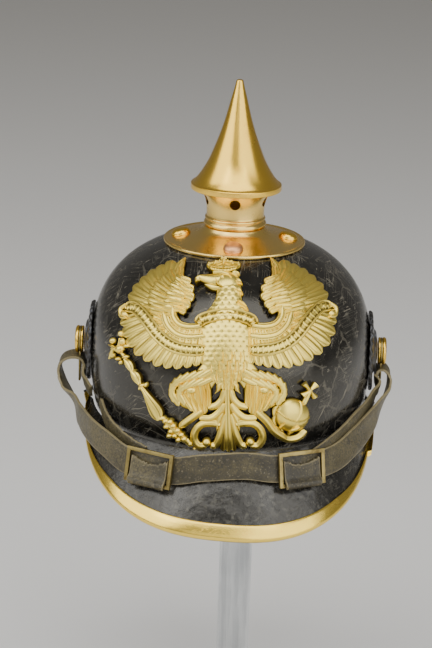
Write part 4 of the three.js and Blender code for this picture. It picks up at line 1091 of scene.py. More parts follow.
def smooth_line(rows, share):
    """A smooth line through points, with even weight on near and far ones."""
    rows = np.vstack([2 * rows[0] - rows[1], rows, 2 * rows[-1] - rows[-2]])
    exact = np.clip(share, 0, 1) * (len(rows) - 3)
    low = np.clip(exact.astype(int), 0, len(rows) - 4)
    t = (exact - low)[:, None]
    a, b, c, d = (rows[low + i] for i in range(4))
    gap_a, gap_b, gap_c = (
        np.sqrt(np.linalg.norm(q - p, axis=1))[:, None] for p, q in ((a, b), (b, c), (c, d))
    )
    first = ((b - a) / gap_a - (c - a) / (gap_a + gap_b) + (c - b) / gap_b) * gap_b
    second = ((c - b) / gap_b - (d - b) / (gap_b + gap_c) + (d - c) / gap_c) * gap_b
    squared = 3 * (c - b) - 2 * first - second
    cubed = 2 * (b - c) + first + second
    return b + first * t + squared * t**2 + cubed * t**3


def route_at(rows, share):
    """The middle line, and the ways across and out of the leather, at shares of the route."""
    step = 1e-4
    place = smooth_line(rows[:, :3], share)
    along = smooth_line(rows[:, :3], share + step) - smooth_line(rows[:, :3], share - step)
    along /= np.linalg.norm(along, axis=1)[:, None]
    exact = np.clip(share, 0, 1) * (len(rows) - 1)
    turn = np.radians(np.interp(exact, np.arange(len(rows)), rows[:, 3]))[:, None]
    inward = -place * (1, 1, 0)
    inward /= np.linalg.norm(inward, axis=1)[:, None]
    sideways = np.clip(np.abs(place[:, 0]) / FORM["half_width"], 0, 1)
    lean = np.radians(4 + 16 * sideways)[:, None]
    across = inward * np.sin(lean) + np.array([0, 0, 1]) * np.cos(lean)
    across = across * np.cos(turn) - np.array([0, 1, 0]) * np.sin(turn)
    across -= along * np.sum(across * along, axis=1)[:, None]
    across /= np.linalg.norm(across, axis=1)[:, None]
    return place, across, np.cross(along, across)


# %% Bands of leather
HALF_THICK = 1.1


def thickened(sheet, depth):
    """Pulls a flat sheet up into a closed slab, `depth` millimetres thick."""
    editing(sheet)
    bpy.ops.mesh.extrude_region_move(TRANSFORM_OT_translate={"value": (0, 0, depth * MM)})
    bpy.ops.mesh.select_all(action="SELECT")
    bpy.ops.mesh.normals_make_consistent(inside=False)
    bpy.ops.object.mode_set(mode="OBJECT")
    return sheet


def marked(piece, name, values):
    """Stores one number at each vertex for a material to read."""
    attribute = piece.data.attributes.new(name, "FLOAT", "POINT")
    attribute.data.foreach_set("value", np.asarray(values, np.float32))


def leather_band(rows, width, columns, seed, point, last_point=0.0):
    """A thick band: a box of columns along and 10 across, rounded, and laid on the route.

    `point` and `last_point` are how much of the route its narrowing ends take."""
    band = thickened(grid_blank(columns, 10), 1)
    box = points_of(band) / MM
    side = np.abs(2 * box[:, 1])
    marked(band, "edge", np.maximum(side**6, 0) * 0.9 + (side > 0.75) * 0.1)
    wave = np.random.default_rng(seed).uniform(0, 6.28, 3)

    def place(p):
        share, across_by, through = p[:, 0] + 0.5, 2 * p[:, 1], 2 * p[:, 2] - 1
        middle, across, out = route_at(rows, share)
        ripple = sum(np.sin(share * k + w) for k, w in zip((31, 73, 151), wave)) * 0.12
        narrow = 0.4 + 0.6 * np.clip(share / point, 0, 1)
        if last_point:
            narrow = np.minimum(narrow, 0.4 + 0.6 * np.clip((1 - share) / last_point, 0, 1))
        half = width / 2 * narrow + ripple * np.sign(across_by) * (np.abs(across_by) > 0.7)
        thick = HALF_THICK * (1 - 0.35 * np.abs(across_by) ** 8)
        thick = thick + 0.06 * np.sin(share * 97 + 5 * across_by)
        cup = -0.35 * (1 - across_by**2)
        sideways, outward = half * across_by, thick * through + cup + 0.18
        return middle + across * sideways[:, None] + out * outward[:, None]

    laid(band, place)
    return softened(band, 0.35, angle=50)


strap = leather_band(STRAP, 16.0, 420, 3, point=0.07, last_point=0.07)
finished(strap, "strap_band", ["chin_strap"], strap_hide)
loose = leather_band(LOOSE_END, 10.0, 60, 5, point=0.5)
finished(loose, "strap_loose_end", ["strap_end_left"], strap_hide)
steps_along = np.diff(smooth_line(STRAP[:, :3], np.linspace(0, 1, 900)), axis=0)
length = np.linalg.norm(steps_along, axis=1).sum()
print("strap length in millimetres:", round(float(length)))

# %% [markdown]
# ## Buckles and their leather tabs
#
# Each buckle is an open rectangle of brass wire with rounded corners, and a tab of leather lies
# in its window and folds down over the lower bar. Both are modelled flat, with inset, extrude and
# bevel, and then stood against the strap at the buckle's place.


# %% Setting a flat piece against the strap
def over_strap(share):
    """Gives a function that sets (along, across, height) on the strap, at a share of its route."""
    middle, across, out = route_at(STRAP, np.array([share]))
    along = np.cross(across, out)

    def place(p):
        return middle + along * p[:, 0:1] + across * p[:, 1:2] + out * (HALF_THICK + p[:, 2:3])

    return place


# %% The buckle's frame
BUCKLE = {"length": 31, "height": 20.5, "bar": 2.2, "thick": 1.8}


def buckle_frame():
    """A flat open rectangle of bar."""
    window_x, window_y = (BUCKLE[side] / 2 - BUCKLE["bar"] for side in ("length", "height"))
    frame_piece = grid_blank(14, 10, BUCKLE["length"], BUCKLE["height"])
    editing(frame_piece)
    bpy.ops.mesh.inset(thickness=BUCKLE["bar"] * MM)
    pick(frame_piece, "faces", lambda m: abs(m.x) < window_x * MM and abs(m.y) < window_y * MM)
    bpy.ops.mesh.delete(type="FACE")
    thickened(frame_piece, BUCKLE["thick"])
    return softened(frame_piece, 0.55, angle=50, segments=4)


# %% Tabs: how far up each row lies, its height off the strap, and its share of the scoop
TAB = np.array([
    (5.6, 0.35, 1.0), (2.0, 0.45, 0.7), (-2.0, 0.6, 0.25), (-5.0, 0.9, 0.0), (-6.6, 1.9, 0.0),
    (-8.0, 3.1, 0.0), (-9.9, 3.25, 0.0), (-11.1, 2.2, 0.0), (-11.5, 0.9, 0.0),
])
TAB_HALF_WIDTH, TAB_THICK = 12.5, 1.5


def buckle_tab(seed):
    """A tab with a torn, scooped upper edge that rolls down over the lower bar."""
    tab = grid_blank(28, 26)
    tear = np.random.default_rng(seed).normal(0, 1, 29)

    def shaped(p):
        across, down = 2 * p[:, 0], 0.5 - p[:, 1]
        rise, lift, scoop = (np.interp(down * 8, np.arange(9), column) for column in TAB.T)
        column = np.clip(((p[:, 0] + 0.5) * 28).round().astype(int), 0, 28)
        rise = rise - scoop * (3.2 * np.cos(across * math.pi / 2) + 0.35 * tear[column])
        pinch = 1 - 0.05 * (down > 0.75) - 0.03 * np.abs(across) ** 4
        lift = lift - 0.25 * across**4 + 0.15 * np.sin(3 * across + seed)
        return np.stack([across * TAB_HALF_WIDTH * pinch, rise, lift], 1)

    flat = points_of(tab) / MM
    moved_to(tab, shaped(flat) * MM)
    sides, torn = np.abs(2 * flat[:, 0]) ** 10, (flat[:, 1] > 0.44) * 0.8
    marked(tab, "edge", np.clip(np.maximum(sides, torn), 0, 1))
    hardened(tab, "SOLIDIFY", thickness=TAB_THICK * MM, offset=-1.0)
    thick = points_of(tab)
    if thick[:, 2].max() < 3.6 * MM:  # the wall grew down into the strap, so lift it out
        moved_to(tab, thick + (0, 0, TAB_THICK * MM))
    return softened(tab, 0.3, angle=50)


# %% Both buckles, each at a row of the strap's route
for name, row in {"left": 17, "right": 23}.items():
    lay = over_strap(row / (len(STRAP) - 1))
    frame_piece = laid(buckle_frame(), lambda p: lay(p + (0, 0, 0.36)))
    finished(frame_piece, f"buckle_bar_{name}", [f"buckle_{name}"], aged_brass)
    tab = laid(buckle_tab(row), lay)
    finished(tab, f"buckle_leather_{name}", [f"buckle_tab_{name}"], strap_hide)

# %% [markdown]
# ## The front plate
#
# The plate is a pierced casting: an eagle with spread wings, crowned, with a sceptre and an orb.
# It is set out flat, in its own U (across) and V (up), and laid on the skull at the end. Sculpting
# it by hand would be slow and hard to repeat, and one height map would give it ragged edges. So
# it is built as a carver builds up wax: one small blank per feather, scroll or bead, each shaped
# by its line, its width and its section, and all of them overlapping on the skull.
#
# The motto and cypher of such plates are left out, and plain lozenges and feathers take their
# place.

# %% From the drawing to the skull
TILT, TURN = math.radians(17.15), math.radians(2.6)
PLATE_LINE = np.array([0, -math.cos(TILT), math.sin(TILT)])
PLATE_OFF, PLATE_SUNK, PLATE_X = 1.8, 1.2, -1.4


def on_face(u, v):
    """Carries the flat drawing along one straight line onto the skull."""
    x, w = swung(u, v, TURN)
    flat = np.stack([x + PLATE_X, w * math.sin(TILT), w * math.cos(TILT)], 1)
    return onto_form(flat, PLATE_LINE, PLATE_OFF)


def on_plate(p):
    """(u, v, height) in millimetres to a place on the skull, with height square to it."""
    step = 0.05
    middle = on_face(p[:, 0], p[:, 1])
    along_u = on_face(p[:, 0] + step, p[:, 1]) - middle
    along_v = on_face(p[:, 0], p[:, 1] + step) - middle
    normal = np.cross(along_u, along_v)
    normal /= np.linalg.norm(normal, axis=1)[:, None]
    return middle + normal * (p[:, 2:3] - PLATE_SUNK)


# %% One blank, shaped
casting, blanks = [], {}


def wax(columns, rows, shape):
    """Adds a box blank whose top follows shape(a, b): u, v, top, bottom and a painted shade value.

    That value runs from 0, darkest, to 1, unshaded, and the underside is marked 0.
    """
    if (columns, rows) not in blanks:
        blanks[columns, rows] = thickened(grid_blank(columns, rows), 1)
    piece = copied(blanks[columns, rows])
    unit = points_of(piece) / MM
    a, b, c = unit[:, 0] + 0.5, unit[:, 1] + 0.5, unit[:, 2]
    u, v, top, bottom, relief_shade = shape(a, b)
    # Painted shade: the top carries the shape's shade value, and the underside is marked fully
    # dark.
    marked(piece, "relief_shade", np.clip(relief_shade, 0, 1) * (c > 0.5))
    moved_to(piece, in_row(on_plate(np.stack([u, v, bottom + (top - bottom) * c], 1))))
    casting.append(piece)


def line_of(points):
    """Flat (u, v) points with a third number, as smooth_line wants them."""
    return np.array([(u, v, 0.0) for u, v in points], float)


def along_line(points, share):
    """The place on a flat line and its direction."""
    step = 1e-3
    before, after = np.maximum(share - step, 0), np.minimum(share + step, 1)
    ahead = smooth_line(points, after) - smooth_line(points, before)
    return smooth_line(points, share), ahead / np.linalg.norm(ahead, axis=1)[:, None]


# %% Sections: the height across a strip and its painted shade from 0 (darkest) to 1, x from -1 to 1
def feather_section(a, x):
    """A raised quill, two grooves on each side, one edge tucked under the next feather.

    Its second value is painted shade: dark in the grooves and at the edges, where overlaps shadow.
    """
    groove = np.cos(3 * math.pi * x) * np.clip(1.5 - a, 0, 1)
    tip = 1 - 0.3 * np.clip((a - 0.86) / 0.14, 0, 1) ** 2
    quill = 0.1 * np.exp(-((x / 0.16) ** 2))
    height = (0.78 - 0.26 * np.abs(x) ** 3 + 0.12 * groove + quill + 0.1 * x) * tip
    return height, (0.77 + 0.23 * groove) * (1 - np.abs(x) ** 5) * (0.88 + 0.12 * a)


def round_section(a, x):
    """A plain rounded bar."""
    return np.sqrt(np.clip(1 - 0.85 * x**2, 0, 1)), 1 - np.abs(x) ** 4


def grooved_section(a, x):
    """A rounded bar with a line down each side, as on the tail's scrolls."""
    line = np.exp(-(((np.abs(x) - 0.5) / 0.13) ** 2))
    # Painted shade: the line down each side is darkened as well as sunk.
    return np.sqrt(np.clip(1 - 0.8 * x**2, 0, 1)) - 0.16 * line, 1 - np.abs(x) ** 4 - 0.8 * line


def ribbon_section(a, x, pitch=19.0):
    """A flat band with a raised border and a row of lozenges with a dot between each two."""
    border = np.exp(-(((np.abs(x) - 0.82) / 0.11) ** 2))
    cell = np.abs((a * pitch) % 1 - 0.5) * 2
    lozenge = np.clip(1.0 - cell * 1.15 - np.abs(x) * 1.5, 0, 0.45) / 0.45
    dot = np.clip(1 - np.hypot((1 - cell) * 2.6, x * 2.6), 0, 0.5) / 0.5
    mark = np.maximum(lozenge, dot)
    # Painted shade: the flat field is darkened, so the border and the marks stand out light.
    return 0.7 + 0.24 * border + 0.16 * mark, 0.12 + 0.88 * np.maximum(border, mark)


# %% Widths along a strip, as shares of its full width
def tapered(*stops):
    """A width that passes through (place, share) stops."""
    places, shares = zip(*stops)
    return lambda a: np.interp(a, places, shares)


feather_width = tapered(
    (0, 0.8), (0.3, 0.96), (0.6, 1.03), (0.8, 1.02), (0.9, 0.93), (0.95, 0.78), (0.98, 0.58),
    (1, 0.34),
)
pointed_width = tapered((0, 0.8), (0.3, 0.96), (0.6, 0.96), (0.8, 0.66), (1, 0.08))
leaf_width = tapered((0, 0.45), (0.2, 0.9), (0.4, 1), (0.6, 0.82), (0.8, 0.48), (1, 0.06))
bar_width = tapered((0, 0.6), (0.04, 0.9), (0.1, 1), (0.9, 1), (0.96, 0.9), (1, 0.6))


# %% Strips and beads
def strip(points, width, top, bottom=0.0, widths=bar_width, section=round_section, fine=(14, 8)):
    """A strip of wax along a line. `fine` is its columns and rows, and top may be a function."""
    points = line_of(points)

    def shape(a, b):
        middle, ahead = along_line(points, a)
        x = 2 * b - 1
        half = x * width / 2 * widths(a)
        height, relief_shade = section(a, x)
        crest = top(middle[:, 0], middle[:, 1]) if callable(top) else top
        high = bottom + (crest - bottom) * height
        u, v = middle[:, 0] - ahead[:, 1] * half, middle[:, 1] + ahead[:, 0] * half
        return u, v, high, bottom, relief_shade

    wax(*fine, shape)


def bead(u, v, radius, top, radius_v=None, bottom=0.0, fine=10):
    """A low dome, round or oval."""
    radius_v = radius_v or radius

    def shape(a, b):
        x, y = 2 * a - 1, 2 * b - 1
        x, y = x * np.sqrt(1 - y**2 / 2), y * np.sqrt(1 - x**2 / 2)
        far = np.clip(np.hypot(x, y), 0, 1)
        high = bottom + (top - bottom) * (1 - far**2.2) ** 0.6
        # Painted shade darkens the dome's rim, through the last value.
        return u + x * radius, v + y * radius_v, high, bottom, 1 - far**6

    wax(fine, fine, shape)


# %% [markdown]
# ### Wings
#
# A wing is laid like tiles: long flight feathers first, then the shorter coverts over their
# roots, the curls along its inner edge, and the arm and the ribbon on top. One set of tables
# serves both wings, and is mirrored for the left one.

# %% Feathers: root, middle, tip and width, measured out from the eagle's own middle line
AXIS_U = 1.0
PRIMARIES = [
    ((26, 34), (29.8, 43.5), (25.4, 52.4), 7.0), ((26.5, 31), (34, 42.5), (33.2, 50.8), 8.6),
    ((27, 28.5), (37.6, 39.8), (39.8, 48.4), 8.8), ((28, 26.5), (41, 37.2), (46.2, 45.2), 9.0),
    ((29, 24.5), (44.4, 34), (51.6, 40.8), 9.0), ((29.5, 22.5), (46.6, 30.2), (56.4, 35.8), 8.8),
    ((30, 20.5), (47, 26.4), (59.2, 30.4), 8.4), ((30.5, 18.5), (46, 22.6), (59.6, 25.4), 7.4),
]
SECONDARIES = [
    ((33, 19.5), (52, 17.5), (64, 13.6), 7.6), ((33, 18), (51, 12.5), (63, 7), 8.2),
    ((32, 16), (48, 8.6), (59.8, 0.8), 8.4), ((31, 14), (44.6, 4.6), (54.8, -4.6), 8.2),
    ((29, 12.5), (40.5, 0.5), (49, -8.2), 7.8), ((26.5, 11.5), (36, -1.6), (42.8, -11.2), 7.6),
    ((24, 11), (30.8, -2.6), (36.4, -12.6), 7.2), ((21, 11), (26, -3), (30.2, -13), 7.0),
    ((18, 11), (21.4, -3), (24, -12.4), 6.6), ((15, 11), (17, -2.6), (18.6, -11.4), 6.2),
    ((12.5, 11), (13.2, -2.6), (13.8, -10.6), 5.4),
]
COVERTS = [
    ((25, 36), (28.2, 41), (27.8, 46.5), 5.0), ((26, 33), (31.4, 39.5), (34, 45), 6.2),
    ((27, 30.5), (34, 36.6), (38.8, 42), 6.6), ((28, 28), (36.8, 33.4), (43, 38), 6.8),
    ((28.6, 25), (38.6, 29.6), (46.2, 33.2), 6.8), ((29, 22), (39, 25.4), (47.2, 28), 6.6),
    ((30, 18.5), (38, 20.8), (46, 22.8), 6.0),
]
WRIST = [
    ((23.6, 34.5), (27, 37.6), (31.2, 40.2), 5.4), ((24, 31.4), (28.6, 33.8), (34, 36), 5.6),
    ((24.6, 28.2), (30, 29.8), (36.2, 31.2), 5.6), ((25.4, 24.8), (31, 25.8), (37.4, 26.4), 5.6),
    ((27.4, 21.2), (32, 21.4), (37.6, 21.6), 5.2),
]
BAND_FEATHERS = [
    ((38.6, 17.5), (44, 20.4), 5.0), ((38, 13.5), (44.4, 16.4), 5.0),
    ((36.4, 9.6), (42.2, 11.6), 5.0),
]

# %% The wing's curls, arm and bands
CURLS = [
    (21.6, 36.0, 2.7), (19.8, 31.8, 2.8), (19.6, 27.2, 2.9), (21.6, 22.8, 2.8), (24.0, 19.4, 2.3),
]
ARM = [(13, 11.6), (22, 10.9), (28, 12.7), (31.2, 17), (31.6, 22)]
INNER_BAND = [(13, 5.8), (21.5, 5.2), (29, 7), (34.6, 12.4), (37, 18.8)]
RIBBON = [
    (13, -2.4), (20, -2.3), (27, -1.4), (33.6, 1.2), (40, 6.3), (45.6, 13.2), (50.4, 19),
    (55, 22.6), (60, 22.4),
]
RIBBON_END = [(59.6, 24.2), (63.0, 21.5), (62.4, 17.0), (59.4, 16.6)]


# %% Both wings
def mirrored(points, side):
    """Points measured out from the eagle's middle line, on one side of it."""
    return [(AXIS_U + side * u, v) for u, v in points]


def halfway(start, end):
    """The middle of a straight line."""
    return (start[0] + end[0]) / 2, (start[1] + end[1]) / 2


def feather(points, width, top, bottom, fine, widths=feather_width):
    """A strip with a quill and grooves."""
    strip(points, width, top, bottom, widths, feather_section, fine)


def wing(side):
    """One wing. Within a rank of feathers, each lies a little over the one before."""

    def rank(feathers, top, bottom, fine, first=feather_width):
        for i, (*points, width) in enumerate(feathers):
            widths = feather_width if i else first
            feather(mirrored(points, side), width, top + 0.05 * i, bottom, fine, widths)

    rank(PRIMARIES, 2.8, 0.3, (14, 12), pointed_width)
    rank(SECONDARIES, 2.6, 0.3, (14, 12))
    rank(COVERTS, 3.4, 0.9, (12, 12))
    band_rank = [(root, halfway(root, tip), tip, width) for root, tip, width in BAND_FEATHERS]
    rank(band_rank, 3.2, 0.9, (8, 12))
    rank(WRIST, 3.9, 1.2, (10, 12))
    for i, (u, v, radius) in enumerate(CURLS):
        points = [(u + 5.4, v + 2.4), (u + 2.6, v + 1.2), (u, v)]
        feather(mirrored(points, side), 2 * radius, 4.6 - 0.1 * i, 0.8, (12, 10))
    strip(mirrored(ARM, side), 5.0, 3.9, section=grooved_section, fine=(26, 12))
    strip(mirrored(INNER_BAND, side), 5.0, 3.5, 0.6, section=grooved_section, fine=(26, 12))
    strip(mirrored(RIBBON, side), 7.4, 3.7, 0.8, section=ribbon_section, fine=(112, 10))
    bead(AXIS_U + side * 61.6, 18.9, 3.0, 3.8)
    strip(mirrored(RIBBON_END, side), 2.2, 4.2, 1.0, fine=(16, 6))


wing(-1)
wing(1)
print("pieces of the casting:", len(casting))

# %% [markdown]
# ### Breast, neck and head
#
# The breast is one swelling form, covered in small overlapping feathers. Hundreds of separate
# ones would be heavy and no better to look at, so their pattern is pressed into the form as a
# height: each row of round tips stands proud of the row below it.

# %% The breast
BREAST = np.array([  # height, left and right edge, how far the middle stands out
    (-25, -2.5, 3.5, 2.6), (-20, -7, 7.6, 3.2), (-15, -12, 12.4, 3.4), (-9, -13.8, 13.6, 3.8),
    (0, -13.6, 13.6, 4.1), (8.5, -14.2, 14, 4.1), (16.4, -15, 14.8, 3.8), (22.8, -8.6, 11, 3.8),
    (27, -6.2, 9.4, 4), (34, -4.8, 9.2, 4.4),
])


def small_feathers(u, v, pitch=4.1, drop=2.7, reach=3.1):
    """0 in the hollow under a tip, rising to 1 at the rim of each small feather."""
    height, found = np.zeros_like(u), np.zeros(len(u), bool)
    row = np.floor(-v / drop)
    for above in (1, 0):
        centre_v = -(row - above) * drop
        shift = ((row - above) % 2) * pitch / 2
        across = (u + shift + pitch / 2) % pitch - pitch / 2
        far = np.hypot(across, v - centre_v) / reach
        inside = (far < 1) & ~found
        height = np.where(inside, far, height)
        found |= inside
    return height


def breast_shape(a, b):
    """The breast and neck in one, from the collar down to the tail's root."""
    v = BREAST[-1, 0] + (BREAST[0, 0] - BREAST[-1, 0]) * a
    left, right, top = (np.interp(v, BREAST[:, 0], BREAST[:, i]) for i in (1, 2, 3))
    u = left + (right - left) * b
    tips = small_feathers(u, v)
    swell = 1.4 + (top - 1.4) * np.clip(np.sin(math.pi * b), 0, 1) ** 0.45
    # Painted shade: the hollows under the small feathers' tips are darkened.
    return u, v, swell + 0.5 * tips, 0.0, 0.1 + 0.9 * tips


wax(92, 46, breast_shape)

# %% Collar and belly: the belly's ranks give a count, a pitch, both ends and the top
COLLAR = [
    (-15.2, 11.6), (-13.6, 14.2), (-6.6, 16.4), (1, 17.2), (8.4, 16.2), (14.6, 13.8), (15.8, 11.2),
]
BELLY = (
    (6, 5.6, -3.5, -10.2, 4.9), (5, 5.2, -8.5, -15.4, 4.7),
    (4, 4.6, -13.5, -20.4, 4.4), (2, 4.2, -18, -25.2, 4.0),
)
strip(COLLAR, 7.0, 5.6, 0, section=lambda a, x: ribbon_section(a, x, 9.0), fine=(72, 12))
for count, pitch, root_v, tip_v, top in BELLY:
    for i in range(count):
        u = AXIS_U + pitch * (i - (count - 1) / 2) * 0.88
        points = [(u, root_v), (u, (root_v + tip_v) / 2), (u - (u - AXIS_U) * 0.08, tip_v)]
        feather(points, pitch, top - 0.012 * (u - AXIS_U) ** 2, 1.2, (12, 12))

# %% Head, beak and crown
bead(0.8, 37, 8.4, 5.6, 6.6, fine=18)
NAPE = (
    ((3.4, 40.4), (8.2, 40.2)), ((4.6, 36.6), (9.6, 34.6)),
    ((4.8, 31.6), (10.0, 28.6)), ((6.4, 24.6), (13.0, 19.6)),
)
for root, tip in NAPE:
    u, v = halfway(root, tip)
    feather([root, (u, v + 0.4), tip], 4.2, 4.8, 0.5, (12, 12), leaf_width)
beak_width = tapered(
    (0, 0.9), (0.2, 1), (0.4, 0.74), (0.58, 0.5), (0.74, 0.42), (0.88, 0.32), (1, 0.1),
)
BEAK = [(-2.4, 38.4), (-7.6, 38.2), (-11.8, 38.6), (-15.2, 38.9), (-17.0, 37.8), (-17.2, 35.6)]
strip(BEAK, 7.0, 5.0, 0, beak_width, fine=(30, 12))
strip([(-3.6, 33.0), (-8.2, 34.2), (-12.4, 34.8)], 3.8, 3.8, 0, leaf_width, fine=(14, 8))
BROW = [(-7.4, 40.4), (-4.2, 40.9), (0.6, 39.6), (3.2, 37.6)]
strip(BROW, 1.8, 6.1, 3.0, leaf_width, fine=(14, 6))
bead(-1.9, 38.2, 1.3, 6.3, bottom=4.0, fine=8)
strip([(-5.8, 37.2), (-4.8, 34.9), (-1.8, 32.4)], 1.2, 5.6, 3.0, leaf_width, fine=(12, 6))

# %% Crown: a banded ring, five arches set with beads, and an orb and cross on top
CROWN_U = -1.4
ring = [(CROWN_U - 7.8, 44.4), (CROWN_U, 43.2), (CROWN_U + 7.8, 44.4)]
strip(ring, 2.6, 4.6, 0, section=lambda a, x: ribbon_section(a, x, 8.0), fine=(60, 10))
for reach_u, reach_v, bow in ((9.2, 46.6, 3.0), (5.2, 47.6, 1.6), (0.0, 47.8, 0.0)):
    for side in ((-1, 1) if reach_u else (1,)):
        foot, shoulder = CROWN_U + side * reach_u * 0.76, CROWN_U + side * reach_u
        points = [(foot, 44.6), (shoulder, reach_v), (CROWN_U + side * 0.9, 48.9 - 0.2 * bow)]
        strip(points, 2.2, 4.2, 0.2, bar_width, grooved_section, (16, 8))
        for share in (0.35, 0.6, 0.85):
            spot = smooth_line(line_of(points), np.array([share]))[0]
            bead(spot[0], spot[1], 0.8, 4.9, bottom=2.0, fine=6)
bead(CROWN_U, 46.2, 8.2, 3.2, 2.8, fine=12)
bead(CROWN_U, 49.4, 1.4, 4.0, fine=8)
strip([(CROWN_U, 49.6), (CROWN_U, 52.0)], 1.3, 3.4, 0, fine=(6, 4))
strip([(CROWN_U - 1.7, 50.9), (CROWN_U + 1.7, 50.9)], 1.2, 3.3, 0, fine=(6, 4))
print("pieces of the casting:", len(casting))

# %% [markdown]
# ### Legs and tail
#
# Short feathers fan round each thigh in two rows, and longer ones hang to the shank. The tail is
# a ribbed stem that flares to the foot, with pairs of leaves and scrolls that curl away from it.

# %% Thighs and shanks, measured out from the middle line
OUTER_ROPE = [
    (10.8, -15.6), (16.8, -16.4), (23, -17.6), (28.4, -19.8), (31.8, -23.8), (31.8, -28.4),
    (28.6, -31.8),
]
INNER_ROPE = [(10.4, -20.2), (16.6, -20.6), (22.4, -22), (26.8, -24.6), (27.6, -28.4), (25, -31.4)]
HANGING = [
    ((25.2, -27.2), (22.8, -32.2), (19.6, -37.2)), ((21.6, -24.6), (20.2, -32), (17.4, -38.8)),
    ((18, -23), (17, -32), (15.4, -39.8)), ((14.6, -22), (14, -31), (13.4, -39)),
    ((11.8, -21), (11.6, -28.6), (12, -35.8)),
]


def thigh(side):
    """The leg's rounded mass, the feathers that hang from it, two rows round it and a boss."""
    bead(AXIS_U + side * 20.6, -26.6, 11.6, 3.0, 11.2, fine=18)
    strip(mirrored([(5, -9), (11, -16), (16, -24), (16, -33)], side), 13.5, 3.2, 0, fine=(16, 10))
    for points in HANGING:
        feather(mirrored(points, side), 4.9, 4.2, 0.4, (14, 12))
    for rope, count, top in ((OUTER_ROPE, 9, 4.1), (INNER_ROPE, 7, 4.5)):
        spots = smooth_line(line_of(rope), np.linspace(0, 1, count + 1))
        for start, end in zip(spots, spots[1:]):
            lean = (end - start)[:2] * 0.35
            root, tip = start[:2] - lean + (0, 1.6), end[:2] + lean - (0, 1.4)
            points = [root, (start + end)[:2] / 2, tip]
            strip(mirrored(points, side), 4.4, top, 0.8, feather_width, round_section, (8, 8))
    bead(AXIS_U + side * 20.8, -25.2, 3.8, 5.0, 2.6, bottom=1.0, fine=10)


thigh(-1)
thigh(1)
shank = {"section": grooved_section, "fine": (18, 10)}
strip([(-13.5, -37), (-18, -40.2), (-26.6, -46.4)], 4.8, 4.2, 0, **shank)
strip([(17, -37.4), (23.3, -43.5), (27.6, -49.6), (33.9, -54.0)], 5.2, 4.2, 0, **shank)

# %% Tail
SCROLLS = (
    ([(2.6, -20.5), (4.6, -22.4), (5.6, -25), (7.4, -27.2)], 3.6, leaf_width, 3.6),
    ([(1.6, -25), (3.4, -30.6), (6.6, -34), (11.2, -35.4)], 4.4, bar_width, 3.6),
    ([(1.6, -33), (5.4, -38.6), (10.4, -41.8), (16.2, -41.6)], 4.8, bar_width, 3.6),
    ([(4.6, -45.4), (9.4, -44.6), (15, -45.2), (18.8, -48.8), (19.8, -54.2), (17, -58.2),
      (12.8, -57.8)], 4.8, bar_width, 3.8),
    ([(1.6, -39), (3.4, -46), (5, -52.6), (7.2, -57.4), (10.2, -58.6)], 4.6, bar_width, 3.4),
    ([(2.6, -38), (5.4, -43.2), (6.6, -48.8)], 4.0, leaf_width, 3.6),
)
for side in (-1, 1):
    for points, width, widths, top in SCROLLS:
        strip(mirrored(points, side), width, top, 0, widths, grooved_section, (30, 10))
    bead(AXIS_U + side * 12.8, -56.2, 2.9, 4.2)
    bead(AXIS_U + side * 8.8, -58.2, 2.4, 4.0)


def stem_shape(a, b):
    """Three ribs down a stem that widens to a scalloped foot."""
    v = -20 - 40.4 * a
    half = np.interp(a, [0, 0.3, 0.55, 0.8, 1], [2.6, 2.5, 2.9, 3.8, 5.0])
    x = 2 * b - 1
    ribs = np.cos(3 * math.pi * x) * -0.5
    scallop = 0.8 * np.cos(3 * math.pi * x) * -np.clip((a - 0.92) / 0.08, 0, 1)
    u, top = AXIS_U - 0.5 * (1 - a) + x * half, 3.2 - 1.2 * x**2 + 0.5 * ribs
    # Painted shade: the grooves between the ribs and the stem's edges are darkened.
    return u, v + scallop, top, 0.0, 0.6 + 0.4 * ribs * 2 - x**6


wax(50, 18, stem_shape)

# %% [markdown]
# ### Sceptre and orb
#
# The sceptre is a string of turned knobs on a thin rod, gripped at its foot by a claw. The orb is
# a ball with two raised bands and a small cross with flared arms.

# %% The sceptre's rod and its three turned lengths
vase_width = tapered(
    (0, 0.35), (0.12, 0.62), (0.3, 0.94), (0.5, 1), (0.7, 0.86), (0.88, 0.5), (1, 0.35),
)
club_width = tapered(
    (0, 0.2), (0.15, 0.32), (0.4, 0.62), (0.65, 0.94), (0.8, 1), (0.9, 0.86), (0.96, 0.6),
    (1, 0.34),
)
SCEPTRE = [
    (-62.6, -2.6), (-57.8, -9.3), (-53.2, -16.9), (-48.0, -25.2), (-42.6, -34.6), (-36, -43.6),
]
strip(SCEPTRE, 2.2, 2.8, 0, fine=(40, 8))
strip([(-36, -43.6), (-29, -50.5), (-21, -57.4)], 4.0, 3.2, 0, fine=(20, 8))
for start, end, width, widths in (
    ((-58.6, -7.4), (-54.2, -14.8), 4.6, vase_width),
    ((-54.6, -14.2), (-50.0, -22.0), 5.4, vase_width),
    ((-48.8, -23.6), (-38.6, -42.6), 8.4, club_width),
):
    points = [start, halfway(start, end), end]
    strip(points, width, 4.4, 0.4, widths, grooved_section, (24, 12))

